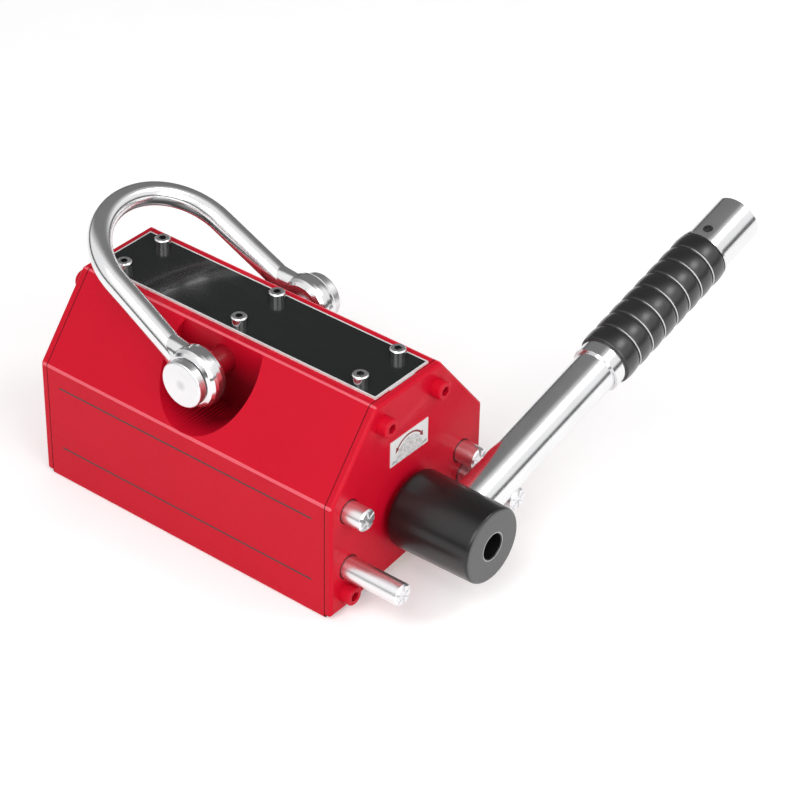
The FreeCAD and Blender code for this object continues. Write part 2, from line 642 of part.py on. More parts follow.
filler = new_body("filler_block")
filler_profile = rectangle(new_sketch(filler, "YZ_Plane"), FITTED_SLOT, FILLER_BASE, "body_height")
pad(filler, filler_profile, "body_length", "Symmetric")
cut(filler, ring(new_sketch(filler, "XZ_Plane"), "0", SHACKLE_AXIS, "shackle_pin_diameter / 2 + joint_gap"),
    None, "Symmetric")

plate = new_body("top_plate")
plate_outline = new_sketch(plate, "XY_Plane", "body_height")
rectangle(plate_outline, f"{POLE_END} - plate_end_margin", f"-{PLATE_HALF}", PLATE_HALF)
pad(plate, plate_outline, "plate_thickness")
plate_holes = new_sketch(plate, "XY_Plane", "body_height + plate_thickness")
for station in PLATE_SCREW_STATIONS:
    for side in BOTH_SIDES:
        ring(plate_holes, station, f"{side}plate_screw_offset", "plate_screw_diameter / 2 + seat_gap")
cut(plate, plate_holes, None, "Symmetric")
group("top_plate_screws", [
    socket_screw(f"plate_screw_{index}_{'left' if side else 'right'}", "plate_screw",
                 (station, f"{side}plate_screw_offset", "body_height + plate_thickness"))
    for index, station in enumerate(PLATE_SCREW_STATIONS, start=1)
    for side in BOTH_SIDES])

for end, front in (("front", True), ("rear", False)):
    end_cover(f"{end}_cover", front)
    sign = "" if front else "-"
    group(f"{end}_cover_screws", [
        socket_screw(f"{end}_cover_screw_{index}_{'left' if side else 'right'}", "cover_screw",
                     (sign + COVER_FACE, side + offset, height), (0, 1, 0), sign + "90")
        for index, (offset, height) in enumerate(COVER_SCREWS, start=1)
        for side in BOTH_SIDES])

place(tube("front_bush", POLE_END, BOSS_END, FRONT_BUSH_RADIUS, "shaft_diameter / 2 + running_gap"),
      ROTOR_AXIS)
place(tube("rear_bush", f"joint_gap - {POLE_END}", f"rear_boss_length - {POLE_END}", REAR_BUSH_RADIUS,
           "rear_shaft_diameter / 2 + running_gap"), ROTOR_AXIS)

for name, (side, offset, height, reach) in STOP_PINS.items():
    tip = f"{COVER_FACE} + {reach}"
    pin = tube(name, f"{COVER_FACE} - pin_depth", tip, "pin_diameter / 2", bevel="pin_bevel_width")
    groove = new_sketch(pin, "YZ_Plane", tip)
    rectangle(groove, "pin_groove_width / 2", "-pin_diameter", "pin_diameter")
    first_groove = cut(pin, groove, "pin_groove_depth")
    star = pin.newObject("PartDesign::PolarPattern", "PolarPattern")
    star.Originals = [first_groove]
    star.Axis = (groove, ["N_Axis"])
    star.Angle = 360
    star.Occurrences = 3
    pin.Tip = star
    place(pin, ("0", side + offset, height))

block("position_label", ("label_thickness", "label_width", "label_height"),
      (COVER_FACE, "-label_width / 2", "body_height - label_drop - label_height / 2"))

# --- Rotor: everything that turns with the lever ------------------------------------------------------
for name, side in (("left", "-"), ("right", "")):
    segment = tube(f"rotor_segment_{name}", CORE_REAR, CORE_FRONT, "rotor_diameter / 2")
    flat = new_sketch(segment, "YZ_Plane", CORE_FRONT)
    edge_of_slab = "(rotor_magnet_width / 2 + joint_gap)"
    far = f"-{side}rotor_diameter".replace("--", "")
    outline(flat, [(side + edge_of_slab, "-rotor_diameter"), (side + edge_of_slab, "rotor_diameter"),
                   (far, "rotor_diameter"), (far, "-rotor_diameter")])
    cut(segment, flat, None)
    for end, backwards in ((CORE_FRONT, False), (CORE_REAR, True)):
        taps = new_sketch(segment, "YZ_Plane", end)
        for up in BOTH_SIDES:
            ring(taps, f"{side}flange_screw_circle_radius * cos(45deg)",
                 f"{up}flange_screw_circle_radius * sin(45deg)", "flange_screw_diameter / 2")
        cut(segment, taps, "flange_screw_length", backwards=backwards)
    place(segment, ROTOR_AXIS, (1, 0, 0), ROTOR_TILT)

magnet_row("rotor_magnet", "rotor_magnet_width", "rotor_magnet_height", CORE_REAR, CORE_FRONT,
           "-rotor_magnet_height / 2", ROTOR_AXIS, ROTOR_TILT)

for name, low, high in (("upper", "rotor_magnet_height / 2 + seat_gap", "rotor_diameter"),
                        ("lower", "-rotor_diameter", "-rotor_magnet_height / 2 - seat_gap")):
    strip = tube(f"rotor_strip_{name}", CORE_REAR, CORE_FRONT, "rotor_diameter / 2")
    wide = "rotor_diameter"
    narrow = "rotor_magnet_width / 2"
    below, above = ("-rotor_diameter", low) if name == "upper" else (high, "rotor_diameter")
    cut(strip, rectangle(new_sketch(strip, "YZ_Plane", CORE_FRONT), wide, below, above))
    for side in BOTH_SIDES:
        flank = new_sketch(strip, "YZ_Plane", CORE_FRONT)
        outline(flank, [(side + narrow, "-rotor_diameter"), (side + wide, "-rotor_diameter"),
                        (side + wide, "rotor_diameter"), (side + narrow, "rotor_diameter")])
        cut(strip, flank)
    place(strip, ROTOR_AXIS, (1, 0, 0), ROTOR_TILT)


def screw_circle(step):
    """Place of one flange screw around the rotor axis."""
    angle = f"(({ROTOR_TILT} + 45 + {step} * 90) * 1deg)"
    return f"flange_screw_circle_radius * cos({angle})", f"flange_screw_circle_radius * sin({angle})"


def rotor_flange(body, face, backwards):
    """Screw holes with sunk heads in a rotor flange; face is its outer side."""
    holes = new_sketch(body, "YZ_Plane", face)
    sunk = new_sketch(body, "YZ_Plane", face)
    for step in range(4):
        ring(holes, *screw_circle(step), "flange_screw_diameter / 2 + seat_gap")
        ring(sunk, *screw_circle(step), "flange_screw_head_diameter / 2 + seat_gap")
    cut(body, holes, "flange_thickness", backwards=backwards)
    cut(body, sunk, "flange_screw_head_height + seat_gap", backwards=backwards)
    place(body, ROTOR_AXIS)


front_shaft = turned("front_shaft", [
    (CORE_FRONT, "0"), (JOURNAL_END, "0"), (JOURNAL_END, "journal_diameter / 2"),
    (f"{WEB_START} - joint_gap", "journal_diameter / 2"),
    (f"{WEB_START} - joint_gap", "shaft_diameter / 2"),
    (ROTOR_FRONT, "shaft_diameter / 2"), (ROTOR_FRONT, "rotor_diameter / 2"),
    (CORE_FRONT, "rotor_diameter / 2")])
rotor_flange(front_shaft, ROTOR_FRONT, False)
tap = ring(new_sketch(front_shaft, "YZ_Plane", JOURNAL_END), "0", "0", "hub_screw_diameter / 2")
cut(front_shaft, tap, "hub_screw_length")
keyway = new_sketch(front_shaft, "YZ_Plane", JOURNAL_END)
rectangle(keyway, "key_size / 2 + joint_gap", f"{KEY_BASE} - joint_gap", "journal_diameter")
cut(front_shaft, keyway, "hub_web_thickness")

rear_shaft = turned("rear_shaft", [
    (f"2 * bearing_end_gap - {POLE_END}", "0"), (CORE_REAR, "0"), (CORE_REAR, "rotor_diameter / 2"),
    (ROTOR_REAR, "rotor_diameter / 2"), (ROTOR_REAR, "rear_shaft_diameter / 2"),
    (f"2 * bearing_end_gap - {POLE_END}", "rear_shaft_diameter / 2")])
rotor_flange(rear_shaft, ROTOR_REAR, True)

for end, face, sign in (("front", f"{ROTOR_FRONT} - flange_screw_head_height - seat_gap", ""),
                        ("rear", f"{ROTOR_REAR} + flange_screw_head_height + seat_gap", "-")):
    screws = []
    for step in range(4):
        across, up = screw_circle(step)
        screws.append(socket_screw(f"{end}_flange_screw_{step + 1}", "flange_screw",
                                   (face, across, f"rotor_height + {up}"), (0, 1, 0), sign + "90"))
    group(f"{end}_flange_screws", screws)

HUB_HOLE = "(hub_hole_diameter / 2)"
hub = turned("hub", [
    (HUB_START, HUB_BORE), (HUB_START, "hub_inner_diameter / 2"), (HUB_END, "hub_outer_diameter / 2"),
    (HUB_END, f"{HUB_HOLE} + hub_hole_bevel_width"), (f"{HUB_END} - hub_hole_bevel_width", HUB_HOLE),
    (SHOULDER_END, HUB_HOLE), (SHOULDER_END, "hub_screw_diameter / 2 + seat_gap"),
    (WEB_END, "hub_screw_diameter / 2 + seat_gap"), (WEB_END, JOURNAL_BORE), (WEB_START, JOURNAL_BORE),
    (WEB_START, HUB_BORE)])
round_edges(hub, "hub_inner_rim_radius", rim_at("hub_inner_diameter / 2", HUB_START))
round_edges(hub, "hub_outer_rim_radius", rim_at("hub_outer_diameter / 2", HUB_END))
lever_seat = radial_sketch(hub, TO_OFF, "0")
cut(hub, ring(lever_seat, LEVER_X, "0", f"{TUBE_RADIUS} + joint_gap"), backwards=True)
hub_keyway = new_sketch(hub, "YZ_Plane", WEB_START)
rectangle(hub_keyway, "key_size / 2 + joint_gap", KEY_BASE, f"{KEY_BASE} + key_size + joint_gap")
cut(hub, hub_keyway, "hub_web_thickness", backwards=True)
place(hub, ROTOR_AXIS)

block("hub_key", ("hub_web_thickness - 2 * joint_gap", "key_size", "key_size"),
      (f"{WEB_START} + joint_gap", "-key_size / 2", f"rotor_height + {KEY_BASE}"))
group("hub_screw", [socket_screw("hub_cap_screw", "hub_screw", (SHOULDER_END, "0", "rotor_height"),
                                 (0, 1, 0), "90")])


def on_lever(thing):
    """Place a piece whose own +Z runs out along the lever from the rotor axis."""
    return place(thing, (LEVER_X, "0", "rotor_height"), (1, 0, 0), TO_OFF)


lever = tube("lever_tube", "lever_root_reach", TUBE_END, TUBE_RADIUS,
             "lever_tube_bore_diameter / 2", "Z")
slot = new_sketch(lever, "XZ_Plane")
rectangle(slot, "tube_slot_width / 2", f"{CROSS_SCREW} - tube_slot_margin", "sleeve_outer_reach")
cut(lever, slot, "lever_tube_diameter", backwards=True)
on_lever(lever)
on_lever(tube("rod_guide", "guide_inner_reach", "guide_inner_reach + guide_length",
              "lever_tube_bore_diameter / 2 - joint_gap", "rod_diameter / 2 + rod_gap", "Z"))

# --- Sleeve: what slides along the lever --------------------------------------------------------------
sleeve = tube("sleeve_tube", "sleeve_inner_reach", "sleeve_outer_reach", "sleeve_diameter / 2",
              SLEEVE_BORE, "Z")
screw_hole = new_sketch(sleeve, "XZ_Plane")
ring(screw_hole, "0", CROSS_SCREW, "cross_screw_head_diameter / 2 + joint_gap")
cut(sleeve, screw_hole, "sleeve_diameter", backwards=True)
on_lever(sleeve)

GRIP_BORE = "(sleeve_diameter / 2 + joint_gap)"
GRIP_END = "(sleeve_outer_reach - grip_outer_inset)"
SWELLING_PITCH = f"(({GRIP_END} - grip_inner_reach) / {GRIP_SWELLINGS})"
grip_points = [("grip_inner_reach", GRIP_BORE)]
for swelling in range(GRIP_SWELLINGS):
    first = f"(grip_inner_reach + {SWELLING_PITCH} * {swelling})"
    last = f"(grip_inner_reach + {SWELLING_PITCH} * {swelling + 1})"
    low_start = f"{first} + grip_groove_width / 2" if swelling else "grip_inner_reach"
    low_end = f"{last} - grip_groove_width / 2" if swelling < GRIP_SWELLINGS - 1 else GRIP_END
    grip_points += [(low_start, "grip_root_diameter / 2"),
                    (f"{low_start} + grip_shoulder_length", "grip_diameter / 2"),
                    (f"{low_end} - grip_shoulder_length", "grip_diameter / 2"),
                    (low_end, "grip_root_diameter / 2")]
grip_points.append((GRIP_END, GRIP_BORE))
on_lever(turned("grip", grip_points, "Z"))
on_lever(tube("grip_ring", f"{GRIP_END} + joint_gap", f"{GRIP_END} + grip_ring_width",
              "grip_ring_diameter / 2", GRIP_BORE, "Z"))

ROD = "(rod_diameter / 2)"
rod = turned("lock_rod", [
    (ROD_TIP, "0"), (ROD_HEAD_END, "0"), (ROD_HEAD_END, ROD_LAND),
    (ROD_HEAD_START, ROD_LAND),
    (ROD_HEAD_START, ROD), ("rod_shoulder_reach", ROD), ("rod_shoulder_reach", ROD_LAND),
    ("rod_shoulder_reach - rod_shoulder_width", ROD_LAND), ("rod_shoulder_reach - rod_shoulder_width", ROD),
    (ROD_TIP, ROD)], "Z")
rod_tap = ring(new_sketch(rod, "XZ_Plane"), "0", CROSS_SCREW, "cross_screw_diameter / 2")
cut(rod, rod_tap, "lever_tube_diameter", backwards=True)
on_lever(rod)

HEAD_SEAT = f"({SLEEVE_BORE} + joint_gap)"
cross_head = bar("cross_screw_head", "cross_screw_head_diameter / 2", "cross_screw_head_height")
cross_shank = bar("cross_screw_shank", "cross_screw_diameter / 2 - joint_gap",
                  "cross_screw_length + joint_gap", "-cross_screw_length")
SLOT_FLOOR = "cross_screw_head_height / 2"
cross_slots = [
    block("cross_slot_along", ("cross_slot_length", "cross_slot_width", "cross_screw_head_height"),
          ("-cross_slot_length / 2", "-cross_slot_width / 2", SLOT_FLOOR)),
    block("cross_slot_across", ("cross_slot_width", "cross_slot_length", "cross_screw_head_height"),
          ("-cross_slot_width / 2", "-cross_slot_length / 2", SLOT_FLOOR))]
cross_screw = minus("cross_screw", joined("cross_screw_blank", [cross_head, cross_shank]),
                    joined("cross_slots", cross_slots))
OFF_COS = "cos(lever_off_angle * 1deg)"
OFF_SIN = "sin(lever_off_angle * 1deg)"
place(cross_screw, (LEVER_X, f"{CROSS_SCREW} * {OFF_COS} - {HEAD_SEAT} * {OFF_SIN}",
                    f"rotor_height + {CROSS_SCREW} * {OFF_SIN} + {HEAD_SEAT} * {OFF_COS}"),
      (1, 0, 0), "lever_off_angle")

# The return spring sits around the lock rod, between its shoulder and the rod guide.
SPRING_RADIUS = "((lever_tube_bore_diameter + rod_diameter) / 4)"
SPRING_START = "(rod_shoulder_reach + spring_wire_diameter / 2 + seat_gap)"
SPRING_HEIGHT = "(guide_inner_reach - rod_shoulder_reach - spring_wire_diameter - 2 * seat_gap)"
helix = doc.addObject("Part::Helix", "spring_helix")
bind(helix, Radius=SPRING_RADIUS, Height=SPRING_HEIGHT, Pitch=f"{SPRING_HEIGHT} / spring_turns")
wire = doc.addObject("Part::Circle", "spring_section")
bind(wire, Radius="spring_wire_diameter / 2")
place(wire, (SPRING_RADIUS, "0", "0"), (1, 0, 0), "90")
coil = doc.addObject("Part::Sweep", "spring_coil")
coil.Sections = [wire]
coil.Spine = (helix, ["Edge1"])
coil.Solid = True
coil.Frenet = True
place(coil, ("0", "0", SPRING_START))
on_lever(group("return_spring", [coil]))

# --- Shackle and its pin ------------------------------------------------------------------------------
shackle_pin = turned("shackle_pin", [
    (f"-{HEAD_OUTER}", "0"), (CAP_FLOOR, "0"),
    (CAP_FLOOR, "shackle_pin_diameter / 2"),
    (f"-{HEAD_INNER}", "shackle_pin_diameter / 2"), (f"-{HEAD_INNER}", "pin_head_diameter / 2"),
    (f"-{HEAD_OUTER}", "pin_head_diameter / 2")])
round_edges(shackle_pin, "pin_head_rim_radius", rim_at("pin_head_diameter / 2", f"-{HEAD_OUTER}"))
place(shackle_pin, SHACKLE_PIVOT, (0, 0, 1), "90")
PIN_BORE = "(shackle_pin_diameter / 2 + joint_gap)"
pin_cap = turned("shackle_pin_cap", [
    (HEAD_OUTER, "0"), (f"{CAP_FLOOR} + joint_gap", "0"),
    (f"{CAP_FLOOR} + joint_gap", PIN_BORE), (HEAD_INNER, PIN_BORE),
    (HEAD_INNER, "pin_head_diameter / 2"), (HEAD_OUTER, "pin_head_diameter / 2")])
round_edges(pin_cap, "pin_head_rim_radius", rim_at("pin_head_diameter / 2", HEAD_OUTER))
place(pin_cap, SHACKLE_PIVOT, (0, 0, 1), "90")

shackle = new_body("shackle")
path = new_sketch(shackle, "YZ_Plane")
taper = math.radians(number(TAPER))
bow_centre = FreeCAD.Vector(0, number("bow_centre_height"), 0)
bow_circle = Part.Circle(bow_centre, FreeCAD.Vector(0, 0, 1), number("bow_radius"))
arc = path.addGeometry(Part.ArcOfCircle(bow_circle, taper, math.pi / 2), False)
arm_top = bow_centre + FreeCAD.Vector(math.cos(taper), math.sin(taper), 0) * number("bow_radius")
arm = path.addGeometry(Part.LineSegment(arm_top, FreeCAD.Vector(number("ear_offset"), 0, 0)), False)
fix_point(path, arc, 3, "0", "bow_centre_height")
bow_datum = path.addConstraint(Sketcher.Constraint("Radius", arc, number("bow_radius")))
path.setExpression(f"Constraints[{bow_datum}]", tied("bow_radius"))
path.addConstraint(Sketcher.Constraint("PointOnObject", arc, 2, -2))
path.addConstraint(Sketcher.Constraint("Tangent", arc, 1, arm, 1))
fix_point(path, arm, 2, "ear_offset", "0")
section = new_sketch(shackle, "XZ_Plane")
ring(section, "0", "bow_centre_height + bow_radius", "shackle_bar_diameter / 2")
bow = shackle.newObject("PartDesign::AdditivePipe", "AdditivePipe")
bow.Profile = section
bow.Spine = (path, [])
doc.recompute()


def corner(across, up, turn_in):
    """Points of a rounded corner of the ear's section; turn_in is the sign towards its middle."""
    points = []
    for step in range(CORNER_STEPS + 1):
        angle = f"{90 * step / CORNER_STEPS:g}deg"
        points.append((f"{across} {turn_in} ear_rim_radius * (1 - cos({angle}))",
                       f"{up} - ear_rim_radius * (1 - sin({angle}))"))
    return points


EAR_INNER = "(ear_offset - ear_thickness / 2)"
ear_section = new_sketch(shackle, "YZ_Plane")
outline(ear_section, [(EAR_OUTER, "0"), (EAR_INNER, "0")] + corner(EAR_INNER, "ear_diameter / 2", "+")
        + corner(EAR_OUTER, "ear_diameter / 2", "-")[::-1])
ear = revolve(shackle, ear_section, "H_Axis")
EAR_BACK = f"ear_offset * sin({TAPER} * 1deg)"
EAR_ASIDE = f"(ear_offset * cos({TAPER} * 1deg))"
neck_root = radial_sketch(shackle, TAPER, f"neck_root_reach - {EAR_BACK}")
oval(neck_root, "0", EAR_ASIDE, "neck_width", "neck_thickness")
neck_end = radial_sketch(shackle, TAPER, f"neck_reach - {EAR_BACK}")
ring(neck_end, "0", EAR_ASIDE, "shackle_bar_diameter / 2 - neck_blend_gap")
neck = shackle.newObject("PartDesign::AdditiveLoft", "AdditiveLoft")
neck.Profile = neck_root
neck.Sections = [neck_end]
doc.recompute()
other_side = shackle.newObject("PartDesign::Mirrored", "Mirrored")
other_side.Originals = [bow, ear, neck]
other_side.MirrorPlane = (origin_plane(shackle, "XZ_Plane"), [""])
shackle.Tip = other_side
doc.recompute()
cut(shackle, ring(new_sketch(shackle, "XZ_Plane"), "0", "0", "shackle_pin_diameter / 2 + ear_clearance"),
    None, "Symmetric")
place(shackle, SHACKLE_PIVOT, (0, 1, 0), "-shackle_lean_angle")

# --- Checks and files ---------------------------------------------------------------------------------
NODES = (
    "pole_shoe_left", "pole_shoe_right", "lower_strip", "upper_strip", "fixed_magnet_rear",
    "fixed_magnet_middle", "fixed_magnet_front", "filler_block", "top_plate", "top_plate_screws",
    "front_cover", "rear_cover", "front_cover_screws", "rear_cover_screws", "front_bush", "rear_bush",
    "long_stop_pin_on", "long_stop_pin_off", "short_stop_pin_on", "short_stop_pin_off", "position_label",
    "shackle_pin", "shackle_pin_cap", "shackle", "rotor_segment_left", "rotor_segment_right",
    "rotor_magnet_rear", "rotor_magnet_middle", "rotor_magnet_front", "rotor_strip_upper",
    "rotor_strip_lower", "front_shaft", "rear_shaft", "front_flange_screws", "rear_flange_screws", "hub",
    "hub_key", "hub_screw", "lever_tube", "rod_guide", "sleeve_tube", "grip", "grip_ring", "lock_rod",
    "cross_screw", "return_spring",
)
doc.recompute()
for item in doc.Objects:
    if "Invalid" in item.State or "Error" in item.State:
        raise ValueError(f"{item.Label} is not computed: {item.State}")
os.makedirs("parts", exist_ok=True)
for node in NODES:
    shape = doc.getObjectsByLabel(node)[0].Shape
    if shape.isNull() or not shape.isValid() or not shape.Solids:
        raise ValueError(f"{node} has no valid solid")
    shape.exportStep(f"parts/{node}.step")
print(f"{len(NODES)} nodes written")
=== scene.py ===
import json
import math

import bmesh
import bpy
from bpy.props import FloatProperty, FloatVectorProperty, IntProperty, PointerProperty
from mathutils import Matrix, Vector


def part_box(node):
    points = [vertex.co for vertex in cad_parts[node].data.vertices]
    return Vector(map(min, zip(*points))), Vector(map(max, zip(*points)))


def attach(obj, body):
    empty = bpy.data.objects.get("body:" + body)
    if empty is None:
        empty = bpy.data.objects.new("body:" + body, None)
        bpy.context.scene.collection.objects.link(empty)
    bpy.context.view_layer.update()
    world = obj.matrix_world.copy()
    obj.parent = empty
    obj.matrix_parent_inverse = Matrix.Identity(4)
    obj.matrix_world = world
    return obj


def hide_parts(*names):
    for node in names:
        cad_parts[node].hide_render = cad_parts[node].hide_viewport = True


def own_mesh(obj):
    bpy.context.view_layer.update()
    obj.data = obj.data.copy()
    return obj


bl_info = {
    "name": "Lifting magnet finishes",
    "version": (1, 0, 0),
    "blender": (4, 5, 0),
    "location": "3D View > Sidebar > Lifting magnet",
    "description": "Paints, plates and marks a permanent lifting magnet and sets up its studio",
    "category": "Object",
}

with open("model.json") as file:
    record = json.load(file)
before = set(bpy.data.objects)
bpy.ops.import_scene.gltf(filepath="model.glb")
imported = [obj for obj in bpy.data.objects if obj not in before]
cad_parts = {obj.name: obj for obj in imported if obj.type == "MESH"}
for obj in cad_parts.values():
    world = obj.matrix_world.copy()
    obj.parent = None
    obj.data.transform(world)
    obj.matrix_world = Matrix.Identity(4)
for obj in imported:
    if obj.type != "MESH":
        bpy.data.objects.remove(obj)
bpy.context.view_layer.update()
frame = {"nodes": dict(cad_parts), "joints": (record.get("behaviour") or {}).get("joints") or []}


# --- Frame: places that the pieces are built from -------------------------------------------------
def joint(name):
    """The record's joint of that name."""
    return next(entry for entry in frame["joints"] if entry["name"] == name)


LEVER_PIVOT = Vector(joint("lever_turn")["pos_m"])
LEVER_AXIS = Vector(joint("sleeve_slide")["axis"]).normalized()


def lever_span(node):
    """Inner and outer reach of a round lever piece from the pivot, and its radius."""
    low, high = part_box(node)
    radius = (high.x - low.x) / 2
    inner = (low.y + radius * LEVER_AXIS.z) / LEVER_AXIS.y
    outer = (high.y - radius * LEVER_AXIS.z) / LEVER_AXIS.y
    return inner, outer, radius


def lever_matrix():
    """The lever's own frame: +Z out along the lever, +Y to its upper side."""
    along = LEVER_AXIS
    upper = Vector((1, 0, 0)).cross(along)
    turned = Matrix((Vector((-1, 0, 0)), upper, along)).transposed().to_4x4()
    return Matrix.Translation(LEVER_PIVOT) @ turned


# --- Shader arithmetic ----------------------------------------------------------------------------
class Signal:
    """A number or colour carried by a socket; arithmetic on it adds the Math nodes it needs."""

    def __init__(self, graph, socket):
        self.graph = graph
        self.socket = socket

    def _math(self, operation, *values, clamp=False):
        return self.graph.node("ShaderNodeMath", {"operation": operation, "use_clamp": clamp},
                               dict(enumerate(values)))

    def __add__(self, other):
        return self._math("ADD", self, other)

    __radd__ = __add__

    def __sub__(self, other):
        return self._math("SUBTRACT", self, other)

    def __rsub__(self, other):
        return self._math("SUBTRACT", other, self)

    def __mul__(self, other):
        return self._math("MULTIPLY", self, other)

    __rmul__ = __mul__

    def __truediv__(self, other):
        return self._math("DIVIDE", self, other)

    def __pow__(self, other):
        return self._math("POWER", self, other)

    def __gt__(self, other):
        return self._math("GREATER_THAN", self, other)

    def __lt__(self, other):
        return self._math("LESS_THAN", self, other)

    def __abs__(self):
        return self._math("ABSOLUTE", self)

    def at_least(self, other):
        return self._math("MAXIMUM", self, other)

    def fraction(self):
        return self._math("FRACT", self)

    def rise(self, low, high):
        """0 below low, 1 above high and straight between; the other way round if low is above high."""
        return self._math("ADD", (self - low) / (high - low), 0.0, clamp=True)


class Graph:
    """A node tree that nodes are added to."""

    def __init__(self, tree):
        self.tree = tree

    def node(self, kind, settings=None, inputs=None, output=0):
        """Add a node: its settings first, then its sockets' values or links; gives one output."""
        made = self.tree.nodes.new(kind)
        for setting, value in (settings or {}).items():
            setattr(made, setting, value)
        for socket, value in (inputs or {}).items():
            if isinstance(value, Signal):
                self.tree.links.new(value.socket, made.inputs[socket])
            else:
                made.inputs[socket].default_value = value
        return Signal(self, made.outputs[output])

    def split(self, vector):
        """The three numbers of a vector."""
        outputs = self.node("ShaderNodeSeparateXYZ", None, {0: vector}).socket.node.outputs
        return tuple(Signal(self, outputs[index]) for index in range(3))

    def blend(self, factor, first, second):
        """A colour between two colours."""
        return self.node("ShaderNodeMix", {"data_type": "RGBA"}, {"Factor": factor, 6: first, 7: second}, 2)

    def seen_directly(self):
        """1 where a ray comes from the camera, a reflection or a transparency, else 0."""
        camera, glossy, through = (
            self.node("ShaderNodeLightPath", output=ray)
            for ray in ("Is Camera Ray", "Is Glossy Ray", "Is Transmission Ray"))
        return camera.at_least(glossy).at_least(through)


class Finish(Graph):
    """A material around one Principled shader; constants are the shader's own fixed values."""

    def __init__(self, name, **constants):
        self.material = bpy.data.materials.new(name)
        self.material.use_nodes = True
        super().__init__(self.material.node_tree)
        self.shader = self.tree.nodes["Principled BSDF"]
        for socket, value in constants.items():
            self.shader.inputs[socket.replace("_", " ")].default_value = value

    def feed(self, socket, signal):
        self.tree.links.new(signal.socket, self.shader.inputs[socket])

    def place(self, stretch=(1.0, 1.0, 1.0)):
        """Object coordinates in metres, stretched."""
        spot = self.node("ShaderNodeTexCoord", output="Object")
        return self.node("ShaderNodeVectorMath", {"operation": "MULTIPLY"}, {0: spot, 1: stretch})

    def spot(self):
        """The three object coordinates in metres."""
        return self.split(self.place())

    def facing(self):
        """The three parts of the surface's direction in the object's own frame."""
        return self.split(self.node("ShaderNodeTexCoord", output="Normal"))

    def noise(self, scale, detail=2.0, roughness=0.5, stretch=(1.0, 1.0, 1.0)):
        return self.node("ShaderNodeTexNoise", None, {
            "Vector": self.place(stretch), "Scale": scale, "Detail": detail, "Roughness": roughness})

    def bump(self, height, distance):
        """Raise the surface by a height signal times a distance in metres."""
        self.feed("Normal", self.node("ShaderNodeBump", None, {"Height": height, "Distance": distance}))


def rgba(colour, factor=1.0):
    return (colour[0] * factor, colour[1] * factor, colour[2] * factor, 1.0)


def grey(level):
    return (level, level, level, 1.0)


def distance_from(across, up, centre):
    """Distance of a point from a centre, in two of its coordinates."""
    return ((across - centre[0]) * (across - centre[0]) + (up - centre[1]) * (up - centre[1])) ** 0.5


# --- Finishes -------------------------------------------------------------------------------------
FACE_ON = 0.7       # least share of a face's direction along an axis for it to count as square to that axis
STEEL = (0.5, 0.5, 0.51)
NICKEL = (0.62, 0.6, 0.56)
BRASS = (0.72, 0.5, 0.2)
BLACK_OXIDE = (0.03, 0.03, 0.03)
LETTER_BLACK = (0.02, 0.02, 0.02)


def section_depths(finish, paint):
    """How deep a point lies under the body's side, slope and top, in metres."""
    _, across, up = finish.spot()
    side = abs(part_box("pole_shoe_left")[0].y)
    shoe_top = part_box("pole_shoe_left")[1].z
    top = paint.top_width / 2
    fall = math.atan2(shoe_top - paint.shoulder_height, side - top)
    under_side = side - abs(across)
    under_slope = under_side * math.sin(fall) + (paint.shoulder_height - up) * math.cos(fall)
    return under_side, under_slope, shoe_top - up


